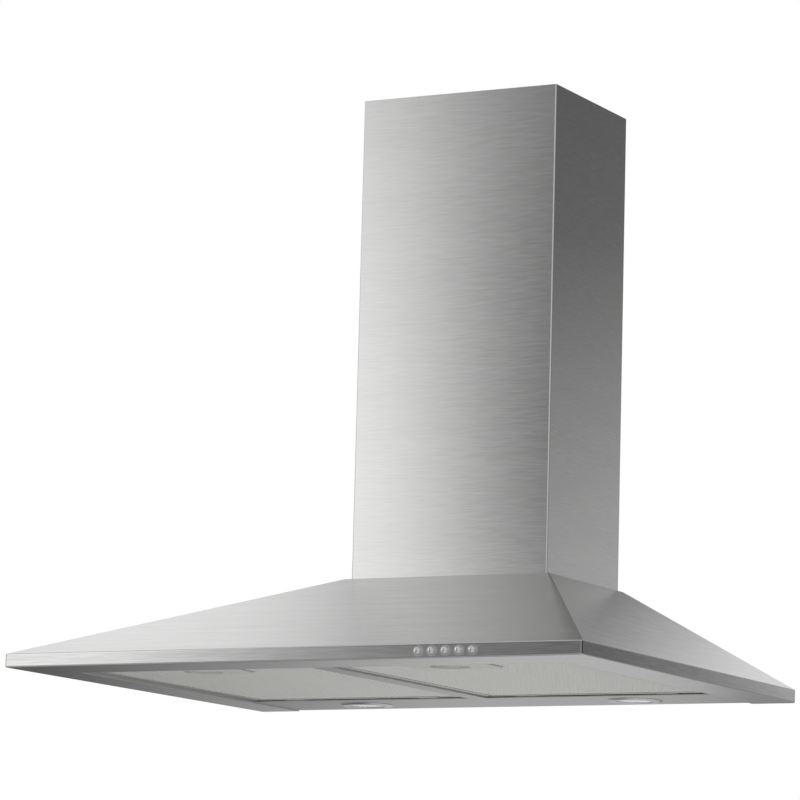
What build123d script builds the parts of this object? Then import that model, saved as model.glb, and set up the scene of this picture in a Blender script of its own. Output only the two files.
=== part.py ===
from build123d import *
import math
import os

# Wall-mounted chimney hood. Millimetres, +Z up, x = 0 on the middle plane.
# y = 0 is the wall and the front looks along -Y. z = 0 is the underside of the rim.

os.makedirs("parts", exist_ok=True)

# Canopy: pressed steel pyramid with a vertical rim and an inward flange below
HOOD_WIDTH = 600.0
HOOD_DEPTH = 500.0
RIM_HEIGHT = 13.0
SLOPE_HEIGHT = 102.0
CANOPY_SHEET = 1.0
FOLD_RADIUS = 1.6            # outside of the canopy's and chimney's folds
SIDE_FLANGE = 45.0
FRONT_FLANGE = 63.0
SHELF = 5.0                  # flat margin of the canopy's top around the chimney

# Chimney: outer cover on the canopy, inner section that slides up inside it
CHIMNEY_WIDTH = 215.0
CHIMNEY_DEPTH = 170.0
CHIMNEY_HEIGHT = 488.0
CHIMNEY_SHEET = 0.8
COVER_RETURN = 18.0          # back edges folded in along the wall
SLIDE_GAP = 0.5              # between the two chimney sections
UPPER_INSET = 2.0            # top of the inner section below the top of the cover

# Inner panel of the underside, with a window for each grease filter
PANEL_SHEET = 1.0
PANEL_OVERLAP = 10.0         # lies on the canopy's flange
PANEL_UPSTAND = 8.0
MULLION = 20.0
WINDOW_EDGE = 4.0            # panel seen between flange and window at the sides
WINDOW_EDGE_FRONT = 3.0
REAR_STRIP = 97.0

# Grease filters
FILTER_GAP = 1.5
FILTER_THICKNESS = 9.0
FILTER_LIP = 7.0
FILTER_SHEET = 0.8
FILTER_RECESS = 0.5          # filter's face above the panel's top face
SEAT_GAP = 0.3               # pieces that rest on each other but move apart
MESH_GAP = 0.2
RIB_PITCH = 7.6
RIB_LAND = 1.0               # flat left between two grooves
RIB_ANGLE = 20.0             # flank of a groove
TAB_WIDTH = 22.0
TAB_SPREAD = 150.0
TAB_REACH = 8.0
HINGE_BACKSET = 1.0          # hinge line behind the filter's rear wall

# Filter latches
LATCH_OFFSET = -8.0          # sideways, from the filter's middle
LATCH_WIDTH = 88.0
LATCH_DEPTH = 40.0
LATCH_PROUD = 1.2            # plate below the filter's face
LATCH_WALL = 1.0
FINGER_RADIUS = 19.0
CUP_RADIUS = 12.0
SLIDER_WIDTH = 60.0
SLIDER_DEPTH = 28.0
LATCH_TRAVEL = 6.0
TONGUE_WIDTH = 14.0
TONGUE_SHEET = 0.6
TONGUE_GRIP = 4.5            # tongue over the panel's edge

# Blower
BOX_GAP = 2.4                # inside the inner chimney section
BOX_BACK = 3.0               # back of the motor box, from the wall
BOX_SHEET = 0.8
BOX_TOP = 290.8
BOX_FLANGE = 6.5
BOX_HOLE_GAP = 0.5           # canopy's opening around the box
SCROLL_Z = 200.0
SCROLL_WALL = 1.5
SCROLL_GAP = 0.7             # between the scroll and the box's sides
SCROLL_BACK = 4.0
INTAKE_SPACE = 37.5          # between the scroll's front and the box's
SCROLL_STEP = 12.0           # each of the volute's three arcs is this much smaller
CUTOFF_ANGLE = 110.0
BELL_RADIUS = 7.0
WHEEL_GAP = 9.0              # between the wheel and the volute's smallest arc
BLADE_HEIGHT = 12.0
BLADE_COUNT = 36
BLADE_RUNS = 3               # straight runs that follow a blade's curve
BLADE_THICKNESS = 1.1
WHEEL_BACK = 17.0
WHEEL_LENGTH = 102.0
WHEEL_SHEET = 1.5
INLET_INSET = 1.0            # inlet inside the roots of the blades
CUP_INSET = 14.0             # cup's wall inside the roots of the blades
CUP_DEPTH = 62.0
MOTOR_GAP = 4.5              # between the motor and the cup
MOTOR_LENGTH = 50.0
SHAFT_RADIUS = 4.0
SHAFT_CLEARANCE = 0.05

# Duct outlet with its two non-return flaps
DUCT_RADIUS = 60.0
COLLAR_WALL = 2.0
COLLAR_X = 14.0
COLLAR_BACKSET = 8.0         # between the duct and the wall
COLLAR_HEIGHT = 42.0
COLLAR_PLATE = 2.0
FLAP_SPLIT = 4.0             # hinge lines either side of the collar's middle
FLAP_HEIGHT = 12.0           # hinge lines above the collar's plate
FLAP_THICKNESS = 1.5
FLAP_GAP = 0.7
FLAP_BARREL = 2.0
FLAP_PIN = 0.9

# Push buttons
BUTTON_NAMES = ["button_off", "button_slow", "button_medium", "button_fast", "button_lamp"]
BUTTON_X = 165.0
BUTTON_PITCH = 13.6
BUTTON_Z = 6.6
BUTTON_RADIUS = 3.3
BUTTON_PROUD = 5.0
BUTTON_TRAVEL = 3.0
BUSH_WALL = 1.0
BUSH_SIDES = 8               # outside the rim's hole, so that a bush can't turn
BUTTON_CLEARANCE = 0.08
STEM_RADIUS = 2.0
STEM_CLEARANCE = 0.06
SWITCH_WIDTH = 82.0
SWITCH_DEPTH = 36.0

# Lamps
LAMP_X = 150.0
LAMP_Y = -49.0
LAMP_HOLE_RADIUS = 25.0
BEZEL_RADIUS = 27.5
BEZEL_PROUD = 1.8
LENS_VIEW_RADIUS = 18.0
LENS_THICKNESS = 2.5
LAMP_HEIGHT = 22.0

# Wall fixing
HOOK_X = 112.0
HOOK_WIDTH = 44.0
HOOK_HOLE_SPREAD = 26.0
HOOK_HOLE_DROP = 14.0        # holes below the seat
HOOK_SEAT_Z = 80.0
HOOK_HEIGHT = 26.0
HOOK_SHEET = 2.0
HOOK_LIP = 12.0
HOOK_HOLE_RADIUS = 2.75
HOOK_WINDOW_GAP = 3.0        # back plate's window around the hook
LOWER_HOLE_X = 220.0
LOWER_HOLE_Z = 24.0
LOWER_HOLE_RADIUS = 3.0
BRACKET_HOLE_SPREAD = 120.0
BRACKET_HOLE_RADIUS = 3.0
BRACKET_HEIGHT = 26.0
BRACKET_SHEET = 1.6
BRACKET_ARM = 60.0

# Electrical pieces
GLAND_X = -80.0
GLAND_Y = -26.0
GLAND_BORE_RADIUS = 4.0
GLAND_WALL = 3.0
GLAND_LENGTH = 16.0
TRANSFORMER_Y = -52.0
TRANSFORMER_SIZE = (88.0, 36.0, 24.0)
WIRING_BOX_PLACE = (-176.0, 44.0)
WIRING_BOX_SIZE = (52.0, 34.0, 32.0)
HOUSING_EDGE = 1.5           # chamfer of the moulded housings
CAPACITOR_PLACE = (172.0, 42.0)
CAPACITOR_RADIUS = 13.0
CAPACITOR_LENGTH = 54.0
CLIP_SHEET = 1.0
CLIP_WIDTH = 14.0
CLIP_HEIGHT = 44.0

# Fasteners
SCREW_RADIUS = 1.5
SCREW_SIDES = 8              # shanks and their holes, to keep facets few
SCREW_HEAD_WIDTH = 5.5
SCREW_HEAD = 1.8
SCREW_HOLE_GAP = 0.1
SCREW_LENGTH = 12.0          # longer screws, under the head
FIT_GAP = 0.1                # rigid pieces that drop into each other

# Places worked out from the sizes above
CANOPY_TOP = RIM_HEIGHT + SLOPE_HEIGHT
TOP_WIDTH = CHIMNEY_WIDTH + 2 * SHELF
TOP_DEPTH = CHIMNEY_DEPTH + SHELF
SIDE_RUN = (HOOD_WIDTH - TOP_WIDTH) / 2
SIDE_SLOPE = math.atan2(SLOPE_HEIGHT, SIDE_RUN)
FRONT_SLOPE = math.atan2(SLOPE_HEIGHT, HOOD_DEPTH - TOP_DEPTH)
PANEL_TOP = CANOPY_SHEET + PANEL_SHEET
PANEL_HALF = HOOD_WIDTH / 2 - SIDE_FLANGE
PANEL_FRONT = FRONT_FLANGE - HOOD_DEPTH
WINDOW_INNER = MULLION / 2
WINDOW_OUTER = PANEL_HALF - WINDOW_EDGE
WINDOW_FRONT = PANEL_FRONT + WINDOW_EDGE_FRONT
WINDOW_BACK = -REAR_STRIP
WINDOW_X = (WINDOW_INNER + WINDOW_OUTER) / 2
WINDOW_Y = (WINDOW_FRONT + WINDOW_BACK) / 2
FILTER_WIDTH = WINDOW_OUTER - WINDOW_INNER - 2 * FILTER_GAP
FILTER_FRONT = WINDOW_FRONT + FILTER_GAP
FILTER_BACK = WINDOW_BACK - FILTER_GAP - HINGE_BACKSET
FILTER_Y = (FILTER_FRONT + FILTER_BACK) / 2
FILTER_DEPTH = FILTER_BACK - FILTER_FRONT
FILTER_Z = PANEL_TOP + FILTER_RECESS
SLIDER_Z = FILTER_Z + FILTER_SHEET + LATCH_WALL
SECTION_INSIDE = 2 * CHIMNEY_SHEET + SLIDE_GAP
BOX_WIDTH = CHIMNEY_WIDTH - 2 * (SECTION_INSIDE + BOX_GAP)
BOX_FRONT = CHIMNEY_DEPTH - SECTION_INSIDE - BOX_GAP
BOX_DEPTH = BOX_FRONT - BOX_BACK
BOX_SCREW_X = BOX_WIDTH / 2 + BOX_FLANGE / 2
BOX_SCREW_PLACES = [
    (side * x, -y)
    for side in (-1, 1)
    for x, y in (
        (BOX_SCREW_X, BOX_BACK + BOX_DEPTH / 4),
        (BOX_SCREW_X, BOX_BACK + BOX_DEPTH * 3 / 4),
        (BOX_WIDTH / 4, BOX_FRONT + BOX_FLANGE / 2),
    )
]
SCROLL_X = -SCROLL_STEP
SCROLL_DEPTH = BOX_FRONT - INTAKE_SPACE - SCROLL_BACK
SCROLL_RADIUS = (BOX_WIDTH + SCROLL_STEP) / 2 - BOX_SHEET - SCROLL_GAP - SCROLL_WALL
WHEEL_RADIUS = SCROLL_RADIUS - 2 * SCROLL_STEP - WHEEL_GAP
BLADE_ROOT_RADIUS = WHEEL_RADIUS - BLADE_HEIGHT
INLET_RADIUS = BLADE_ROOT_RADIUS - INLET_INSET
CUP_WALL_RADIUS = BLADE_ROOT_RADIUS - CUP_INSET
MOTOR_RADIUS = CUP_WALL_RADIUS - WHEEL_SHEET - MOTOR_GAP
COLLAR_Y = -DUCT_RADIUS - COLLAR_BACKSET


def side_inner(height):
    """Half width between the sloping sides, inside the sheet, at a height."""
    run = (height - RIM_HEIGHT) / math.tan(SIDE_SLOPE)
    return HOOD_WIDTH / 2 - run - CANOPY_SHEET / math.sin(SIDE_SLOPE)


def screw_outline(gap=0.0, mode=Mode.ADD):
    """Section of a screw's shank, or of its hole with a gap all round."""
    RegularPolygon(SCREW_RADIUS + gap, SCREW_SIDES, major_radius=False, mode=mode)


def save(piece, name):
    """Name a finished piece and write it."""
    piece.part.label = name
    export_step(piece.part, f"parts/{name}.step")


# Canopy shell: rim, slopes and inward flange pressed from one sheet, open at the wall
with BuildPart() as canopy_shell:
    with BuildSketch(Plane.XZ):
        with BuildLine():
            Polyline(
                (-HOOD_WIDTH / 2, 0),
                (-HOOD_WIDTH / 2, RIM_HEIGHT),
                (-TOP_WIDTH / 2, CANOPY_TOP),
                (TOP_WIDTH / 2, CANOPY_TOP),
                (HOOD_WIDTH / 2, RIM_HEIGHT),
                (HOOD_WIDTH / 2, 0),
                close=True,
            )
        make_face()
    extrude(amount=HOOD_DEPTH)
    with BuildSketch(Plane.YZ):
        with BuildLine():
            Polyline(
                (0, 0),
                (0, CANOPY_TOP),
                (-TOP_DEPTH, CANOPY_TOP),
                (-HOOD_DEPTH, RIM_HEIGHT),
                (-HOOD_DEPTH, 0),
                close=True,
            )
        make_face()
    extrude(amount=HOOD_WIDTH / 2, both=True, mode=Mode.INTERSECT)
    folds = edges().filter_by(Axis.Y, reverse=True).filter_by_position(Axis.Y, -HOOD_DEPTH - 1, -1)
    fillet(folds + edges().filter_by(Axis.Y), FOLD_RADIUS)
    offset(amount=-CANOPY_SHEET, openings=faces().filter_by(Plane.XZ).sort_by(Axis.Y)[-1:])
    with BuildSketch():
        Rectangle(2 * PANEL_HALF, -PANEL_FRONT, align=(Align.CENTER, Align.MAX))
    extrude(amount=CANOPY_SHEET, mode=Mode.SUBTRACT)
    with BuildSketch(Plane.XY.offset(CANOPY_TOP)):
        Rectangle(
            BOX_WIDTH + 2 * BOX_HOLE_GAP, BOX_FRONT + BOX_HOLE_GAP, align=(Align.CENTER, Align.MAX)
        )
        with Locations(*BOX_SCREW_PLACES):
            screw_outline(SCREW_HOLE_GAP)
    extrude(amount=-CANOPY_SHEET, mode=Mode.SUBTRACT)
    with BuildSketch(Plane.XZ.offset(HOOD_DEPTH)):
        with Locations((BUTTON_X, BUTTON_Z)):
            with GridLocations(BUTTON_PITCH, 0, len(BUTTON_NAMES), 1):
                RegularPolygon(
                    BUTTON_RADIUS + BUTTON_CLEARANCE + BUSH_WALL + FIT_GAP,
                    BUSH_SIDES,
                    major_radius=False,
                )
    extrude(amount=-CANOPY_SHEET, mode=Mode.SUBTRACT)
save(canopy_shell, "canopy_shell")

# Canopy back: flat plate between the sides, with windows for the wall hooks
BACK_TOP = CANOPY_TOP - CANOPY_SHEET
BACK_LIP = 12.0
BACK_LIP_END = 10.0          # lip shorter than the panel at each end
with BuildPart() as canopy_back:
    with BuildSketch(Plane.XZ):
        with BuildLine():
            rim_corner = RIM_HEIGHT - math.tan(math.pi / 4 - SIDE_SLOPE / 2) * CANOPY_SHEET
            inner_half = HOOD_WIDTH / 2 - CANOPY_SHEET
            foot_half = PANEL_HALF + PANEL_OVERLAP + FIT_GAP
            Polyline(
                (-inner_half, CANOPY_SHEET),
                (-inner_half, rim_corner),
                (-side_inner(BACK_TOP), BACK_TOP),
                (side_inner(BACK_TOP), BACK_TOP),
                (inner_half, rim_corner),
                (inner_half, CANOPY_SHEET),
                (foot_half, CANOPY_SHEET),
                (foot_half, PANEL_TOP),
                (-foot_half, PANEL_TOP),
                (-foot_half, CANOPY_SHEET),
                close=True,
            )
        make_face()
        folds = vertices().filter_by(lambda corner: abs(abs(corner.X) - foot_half) > FIT_GAP)
        fillet(folds, FOLD_RADIUS - CANOPY_SHEET)
        with Locations((-HOOK_X, HOOK_SEAT_Z), (HOOK_X, HOOK_SEAT_Z)):
            Rectangle(
                HOOK_WIDTH + 2 * HOOK_WINDOW_GAP,
                HOOK_HEIGHT + HOOK_WINDOW_GAP,
                align=(Align.CENTER, Align.MAX),
                mode=Mode.SUBTRACT,
            )
        with Locations((-LOWER_HOLE_X, LOWER_HOLE_Z), (LOWER_HOLE_X, LOWER_HOLE_Z)):
            Circle(LOWER_HOLE_RADIUS, mode=Mode.SUBTRACT)
    extrude(amount=CANOPY_SHEET)
    with BuildSketch(Plane.XY.offset(PANEL_TOP)):
        with Locations((0, -CANOPY_SHEET)):
            Rectangle(2 * (PANEL_HALF - BACK_LIP_END), BACK_LIP, align=(Align.CENTER, Align.MAX))
    extrude(amount=CANOPY_SHEET)
save(canopy_back, "canopy_back")

# Underside panel: shallow tray that lies on the canopy's flange
with BuildPart() as underside_panel:
    with BuildSketch(Plane.XY.offset(CANOPY_SHEET)):
        Rectangle(
            2 * (PANEL_HALF + PANEL_OVERLAP),
            PANEL_OVERLAP - PANEL_FRONT,
            align=(Align.CENTER, Align.MAX),
        )
    extrude(amount=PANEL_SHEET + PANEL_UPSTAND)
    with BuildSketch(Plane.XY.offset(PANEL_TOP)):
        Rectangle(
            2 * (PANEL_HALF + PANEL_OVERLAP - PANEL_SHEET),
            PANEL_OVERLAP - PANEL_FRONT - PANEL_SHEET,
            align=(Align.CENTER, Align.MAX),
        )
    extrude(amount=PANEL_UPSTAND, mode=Mode.SUBTRACT)
    with BuildSketch(Plane.XY.offset(CANOPY_SHEET)):
        with Locations((-WINDOW_X, WINDOW_Y), (WINDOW_X, WINDOW_Y)):
            Rectangle(WINDOW_OUTER - WINDOW_INNER, WINDOW_BACK - WINDOW_FRONT)
        with Locations((-LAMP_X, LAMP_Y), (LAMP_X, LAMP_Y)):
            Circle(LAMP_HOLE_RADIUS)
    extrude(amount=PANEL_SHEET, mode=Mode.SUBTRACT)
    with BuildSketch(Plane.XY.offset(CANOPY_SHEET)):
        Rectangle(HOOD_WIDTH, CANOPY_SHEET, align=(Align.CENTER, Align.MAX))
    extrude(amount=PANEL_SHEET + PANEL_UPSTAND, mode=Mode.SUBTRACT)
save(underside_panel, "underside_panel")


def chimney_section(width, depth, back, fold_in, bottom, top):
    """Three folded walls, open at the wall between their turned-in back edges."""
    with BuildPart() as section:
        with BuildSketch(Plane.XY.offset(bottom)):
            with Locations((0, back)):
                RectangleRounded(width, depth, FOLD_RADIUS, align=(Align.CENTER, Align.MAX))
            with Locations((0, back - CHIMNEY_SHEET)):
                RectangleRounded(
                    width - 2 * CHIMNEY_SHEET,
                    depth - 2 * CHIMNEY_SHEET,
                    FOLD_RADIUS - CHIMNEY_SHEET,
                    align=(Align.CENTER, Align.MAX),
                    mode=Mode.SUBTRACT,
                )
            with Locations((0, back)):
                Rectangle(
                    width - 2 * fold_in,
                    CHIMNEY_SHEET,
                    align=(Align.CENTER, Align.MAX),
                    mode=Mode.SUBTRACT,
                )
        extrude(amount=top - bottom)
    return section.part


# Chimney cover: outer section, standing on the canopy's top
COVER_TOP = CANOPY_TOP + CHIMNEY_HEIGHT
with BuildPart() as chimney_cover:
    add(chimney_section(CHIMNEY_WIDTH, CHIMNEY_DEPTH, 0, COVER_RETURN, CANOPY_TOP, COVER_TOP))
save(chimney_cover, "chimney_cover")

# Inner chimney section: the same form, smaller by the sliding gap
UPPER_INSIDE_COVER = CHIMNEY_SHEET + SLIDE_GAP
UPPER_WIDTH = CHIMNEY_WIDTH - 2 * UPPER_INSIDE_COVER
UPPER_DEPTH = CHIMNEY_DEPTH - 2 * UPPER_INSIDE_COVER
UPPER_BOTTOM = CANOPY_TOP + SEAT_GAP
UPPER_TOP = COVER_TOP - UPPER_INSET
UPPER_INNER_HALF = UPPER_WIDTH / 2 - CHIMNEY_SHEET
UPPER_RETURN = 15.0
BRACKET_TOP = UPPER_TOP - 4.0
BRACKET_Z = BRACKET_TOP - BRACKET_HEIGHT / 2
BRACKET_SCREW_Y = -42.0
with BuildPart() as chimney_upper:
    add(
        chimney_section(
            UPPER_WIDTH, UPPER_DEPTH, -UPPER_INSIDE_COVER, UPPER_RETURN, UPPER_BOTTOM, UPPER_TOP
        )
    )
    with BuildSketch(Plane.YZ):
        with Locations((BRACKET_SCREW_Y, BRACKET_Z)):
            screw_outline(SCREW_HOLE_GAP)
    extrude(amount=CHIMNEY_WIDTH / 2, both=True, mode=Mode.SUBTRACT)
save(chimney_upper, "chimney_upper")

# Top bracket: strip screwed to the wall, whose arms carry the inner section
BRACKET_OUTER_HALF = UPPER_INNER_HALF - FIT_GAP
BRACKET_STEP_GAP = 2.0       # between the bracket's step and the cover's back edge
BRACKET_STEP_HALF = CHIMNEY_WIDTH / 2 - COVER_RETURN - BRACKET_STEP_GAP
BRACKET_STEP_Y = -UPPER_INSIDE_COVER - CHIMNEY_SHEET - FIT_GAP
with BuildPart() as chimney_wall_bracket:
    with BuildSketch(Plane.XY.offset(BRACKET_TOP - BRACKET_HEIGHT)):
        Rectangle(2 * BRACKET_STEP_HALF, BRACKET_SHEET, align=(Align.CENTER, Align.MAX))
        for side in (-1, 1):
            outward = Align.MAX if side > 0 else Align.MIN
            with Locations((side * BRACKET_STEP_HALF, 0)):
                Rectangle(BRACKET_SHEET, BRACKET_SHEET - BRACKET_STEP_Y, align=(outward, Align.MAX))
            with Locations((side * BRACKET_OUTER_HALF, BRACKET_STEP_Y)):
                Rectangle(
                    BRACKET_OUTER_HALF - BRACKET_STEP_HALF + BRACKET_SHEET,
                    BRACKET_SHEET,
                    align=(outward, Align.MAX),
                )
                Rectangle(BRACKET_SHEET, BRACKET_ARM, align=(outward, Align.MAX))
        bends = [vertices().group_by(Axis.X)[end].sort_by(Axis.Y)[-1] for end in (0, -1)]
        fillet(bends, BRACKET_SHEET)
    extrude(amount=BRACKET_HEIGHT)
    with BuildSketch(Plane.XZ):
        with Locations((0, BRACKET_Z)):
            with GridLocations(BRACKET_HOLE_SPREAD, 0, 2, 1):
                Circle(BRACKET_HOLE_RADIUS)
    extrude(amount=BRACKET_SHEET, mode=Mode.SUBTRACT)
    with BuildSketch(Plane.YZ):
        with Locations((BRACKET_SCREW_Y, BRACKET_Z)):
            screw_outline(SCREW_HOLE_GAP)
    extrude(amount=CHIMNEY_WIDTH / 2, both=True, mode=Mode.SUBTRACT)
save(chimney_wall_bracket, "chimney_wall_bracket")

# Bracket screws: heads inside the arms, ends flush with the section's outer face
with BuildPart() as chimney_bracket_screws:
    for side in (-1, 1):
        head_x = side * (BRACKET_OUTER_HALF - BRACKET_SHEET)
        direction = (side, 0, 0)
        with BuildSketch(Plane(origin=(head_x, BRACKET_SCREW_Y, BRACKET_Z), z_dir=direction)):
            screw_outline()
        extrude(amount=UPPER_WIDTH / 2 - abs(head_x))
        with BuildSketch(Plane(origin=(head_x, BRACKET_SCREW_Y, BRACKET_Z), z_dir=direction)):
            RegularPolygon(SCREW_HEAD_WIDTH / 2, 6, major_radius=False)
        extrude(amount=-SCREW_HEAD)
save(chimney_bracket_screws, "chimney_bracket_screws")

# Wall hooks: plates screwed to the wall, whose lips carry the back plate's windows
LIP_GAP = 0.5                # between the back plate and the lip
LIP_BACK = CANOPY_SHEET + LIP_GAP
for side, name in ((-1, "wall_hook_left"), (1, "wall_hook_right")):
    with BuildPart() as wall_hook:
        with BuildSketch(Plane.YZ.offset(side * HOOK_X)):
            with BuildLine():
                Polyline(
                    (0, HOOK_SEAT_Z - HOOK_HEIGHT),
                    (0, HOOK_SEAT_Z),
                    (-LIP_BACK, HOOK_SEAT_Z),
                    (-LIP_BACK, HOOK_SEAT_Z + HOOK_LIP),
                    (-LIP_BACK - HOOK_SHEET, HOOK_SEAT_Z + HOOK_LIP),
                    (-LIP_BACK - HOOK_SHEET, HOOK_SEAT_Z - HOOK_SHEET),
                    (-HOOK_SHEET, HOOK_SEAT_Z - HOOK_SHEET),
                    (-HOOK_SHEET, HOOK_SEAT_Z - HOOK_HEIGHT),
                    close=True,
                )
            make_face()
        extrude(amount=HOOK_WIDTH / 2, both=True)
        with BuildSketch(Plane.XZ):
            with Locations((side * HOOK_X, HOOK_SEAT_Z - HOOK_HOLE_DROP)):
                with GridLocations(HOOK_HOLE_SPREAD, 0, 2, 1):
                    Circle(HOOK_HOLE_RADIUS)
        extrude(amount=HOOK_SHEET, mode=Mode.SUBTRACT)
    save(wall_hook, name)

# Motor box: steel can open below, hung from the canopy's top by its flange
BOX_BOTTOM = BACK_TOP - BOX_SHEET
with BuildPart() as motor_box:
    with BuildSketch(Plane.XY.offset(BOX_BOTTOM)):
        with Locations((0, -BOX_BACK)):
            Rectangle(BOX_WIDTH, BOX_DEPTH, align=(Align.CENTER, Align.MAX))
    extrude(amount=BOX_TOP - BOX_BOTTOM)
    offset(amount=-BOX_SHEET, openings=faces().sort_by(Axis.Z)[:1])
    with BuildSketch(Plane.XY.offset(BOX_BOTTOM)):
        with Locations((0, -BOX_BACK)):
            Rectangle(
                BOX_WIDTH + 2 * BOX_FLANGE,
                BOX_DEPTH + BOX_FLANGE,
                align=(Align.CENTER, Align.MAX),
            )
            Rectangle(
                BOX_WIDTH - BOX_SHEET,
                BOX_DEPTH - BOX_SHEET,
                align=(Align.CENTER, Align.MAX),
                mode=Mode.SUBTRACT,
            )
        with Locations(*BOX_SCREW_PLACES):
            screw_outline(SCREW_HOLE_GAP, Mode.SUBTRACT)
    extrude(amount=BOX_SHEET)
    with BuildSketch(Plane.XY.offset(BOX_TOP)):
        with Locations((COLLAR_X, COLLAR_Y)):
            Circle(DUCT_RADIUS - COLLAR_WALL)
        with Locations((GLAND_X, GLAND_Y)):
            Circle(GLAND_BORE_RADIUS + GLAND_WALL)
    extrude(amount=-BOX_SHEET, mode=Mode.SUBTRACT)
save(motor_box, "motor_box")

# Screws of the motor box, driven from below through its flange
with BuildPart() as motor_box_screws:
    with BuildSketch(Plane.XY.offset(BOX_BOTTOM)):
        with Locations(*BOX_SCREW_PLACES):
            screw_outline()
    extrude(amount=BOX_SHEET + CANOPY_SHEET - SEAT_GAP)
    with BuildSketch(Plane.XY.offset(BOX_BOTTOM)):
        with Locations(*BOX_SCREW_PLACES):
            RegularPolygon(SCREW_HEAD_WIDTH / 2, 6, major_radius=False)
    extrude(amount=-SCREW_HEAD)
save(motor_box_screws, "motor_box_screws")


# The volute's three arcs: centre, radius, angle of the first end, angle of the screw boss
HALF_STEP = SCROLL_STEP / 2
SCROLL_ARCS = [
    (SCROLL_X + HALF_STEP, SCROLL_Z + HALF_STEP, SCROLL_RADIUS, 270, 310),
    (SCROLL_X + HALF_STEP, SCROLL_Z - HALF_STEP, SCROLL_RADIUS - SCROLL_STEP, 180, 225),
    (SCROLL_X - HALF_STEP, SCROLL_Z - HALF_STEP, SCROLL_RADIUS - 2 * SCROLL_STEP, 90, 150),
]


def volute_face(grow):
    """Spiral of three arcs with its straight neck, drawn larger by grow."""
    mouth_z = BOX_TOP - BOX_SHEET
    (large_x, large_z, large, *_), middle_arc, (small_x, small_z, small, *_) = SCROLL_ARCS
    neck_x = small_x + small * math.cos(math.radians(CUTOFF_ANGLE)) - grow
    cutoff = math.degrees(math.acos((neck_x - small_x) / (small + grow)))
    right_x = large_x + large + grow
    with BuildSketch(Plane.XZ.offset(SCROLL_BACK)) as volute:
        with BuildLine():
            CenterArc((large_x, large_z), large + grow, 270, 90)
            CenterArc(middle_arc[:2], middle_arc[2] + grow, 180, 90)
            start = CenterArc((small_x, small_z), small + grow, cutoff, 180 - cutoff)
            Polyline(
                start @ 0,
                (neck_x, mouth_z),
                (right_x, mouth_z),
                (right_x, large_z),
            )
        make_face()
    return volute.sketch


# Scroll body: back plate, spiral wall and screw bosses in one moulding
SCROLL_FRONT = SCROLL_BACK + SCROLL_DEPTH
LUG_ANGLES = (90, 210, 330)
SCREW_BOSS_RADIUS = 4.0
BOSS_STAND = SCROLL_WALL + 2.5
SCROLL_BOSSES = [
    (
        x + (radius + BOSS_STAND) * math.cos(math.radians(angle)),
        z + (radius + BOSS_STAND) * math.sin(math.radians(angle)),
    )
    for x, z, radius, _, angle in SCROLL_ARCS
]
with BuildPart() as scroll_body:
    add(volute_face(SCROLL_WALL))
    extrude(amount=SCROLL_DEPTH - SCROLL_WALL, dir=(0, -1, 0))
    with BuildSketch(Plane.XZ.offset(SCROLL_BACK)):
        with Locations(*SCROLL_BOSSES):
            Circle(SCREW_BOSS_RADIUS)
    extrude(amount=SCROLL_DEPTH - SCROLL_WALL)
    add(Pos(0, -SCROLL_WALL, 0) * volute_face(0))
    extrude(amount=SCROLL_DEPTH, dir=(0, -1, 0), mode=Mode.SUBTRACT)
    with BuildSketch(Plane.XZ.offset(SCROLL_FRONT - SCROLL_WALL)):
        with Locations(*SCROLL_BOSSES):
            screw_outline(SCREW_HOLE_GAP)
    extrude(amount=-SCREW_LENGTH, mode=Mode.SUBTRACT)
save(scroll_body, "scroll_body")

# Scroll cover: front plate with the rolled inlet ring
WHEEL_AXIS = Axis((SCROLL_X, 0, SCROLL_Z), (0, 1, 0))
AXIS_PLANE = Plane(origin=(SCROLL_X, 0, SCROLL_Z), x_dir=(1, 0, 0), z_dir=(0, 0, -1))
with BuildPart() as scroll_cover:
    add(Pos(0, SCROLL_WALL - SCROLL_DEPTH, 0) * volute_face(SCROLL_WALL))
    extrude(amount=SCROLL_WALL, dir=(0, -1, 0))
    with BuildSketch(Plane.XZ.offset(SCROLL_FRONT)):
        with Locations(*SCROLL_BOSSES):
            Circle(SCREW_BOSS_RADIUS)
    extrude(amount=-SCROLL_WALL)
    with BuildSketch(Plane.XZ.offset(SCROLL_FRONT)):
        with Locations((SCROLL_X, SCROLL_Z)):
            Circle(INLET_RADIUS)
        with Locations(*SCROLL_BOSSES):
            screw_outline(SCREW_HOLE_GAP)
    extrude(amount=-SCROLL_WALL, mode=Mode.SUBTRACT)
    with BuildSketch(AXIS_PLANE):
        with BuildLine():
            bell = SCROLL_FRONT + BELL_RADIUS
            flare = BELL_RADIUS / 4
            Polyline(
                (INLET_RADIUS, SCROLL_FRONT),
                (INLET_RADIUS + flare, bell - flare),
                (INLET_RADIUS + BELL_RADIUS, bell),
                (INLET_RADIUS + BELL_RADIUS, bell - SCROLL_WALL),
                (INLET_RADIUS + flare + SCROLL_WALL, bell - flare - SCROLL_WALL),
                (INLET_RADIUS + SCROLL_WALL, SCROLL_FRONT),
                close=True,
            )
        make_face()
    revolve(axis=WHEEL_AXIS)
save(scroll_cover, "scroll_cover")

# Screws of the scroll cover, in the scroll body's bosses
with BuildPart() as scroll_screws:
    with BuildSketch(Plane.XZ.offset(SCROLL_FRONT)):
        with Locations(*SCROLL_BOSSES):
            screw_outline()
    extrude(amount=-SCREW_LENGTH)
    with BuildSketch(Plane.XZ.offset(SCROLL_FRONT)):
        with Locations(*SCROLL_BOSSES):
            RegularPolygon(SCREW_HEAD_WIDTH / 2, 6, major_radius=False)
    extrude(amount=SCREW_HEAD)
save(scroll_screws, "scroll_screws")

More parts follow.
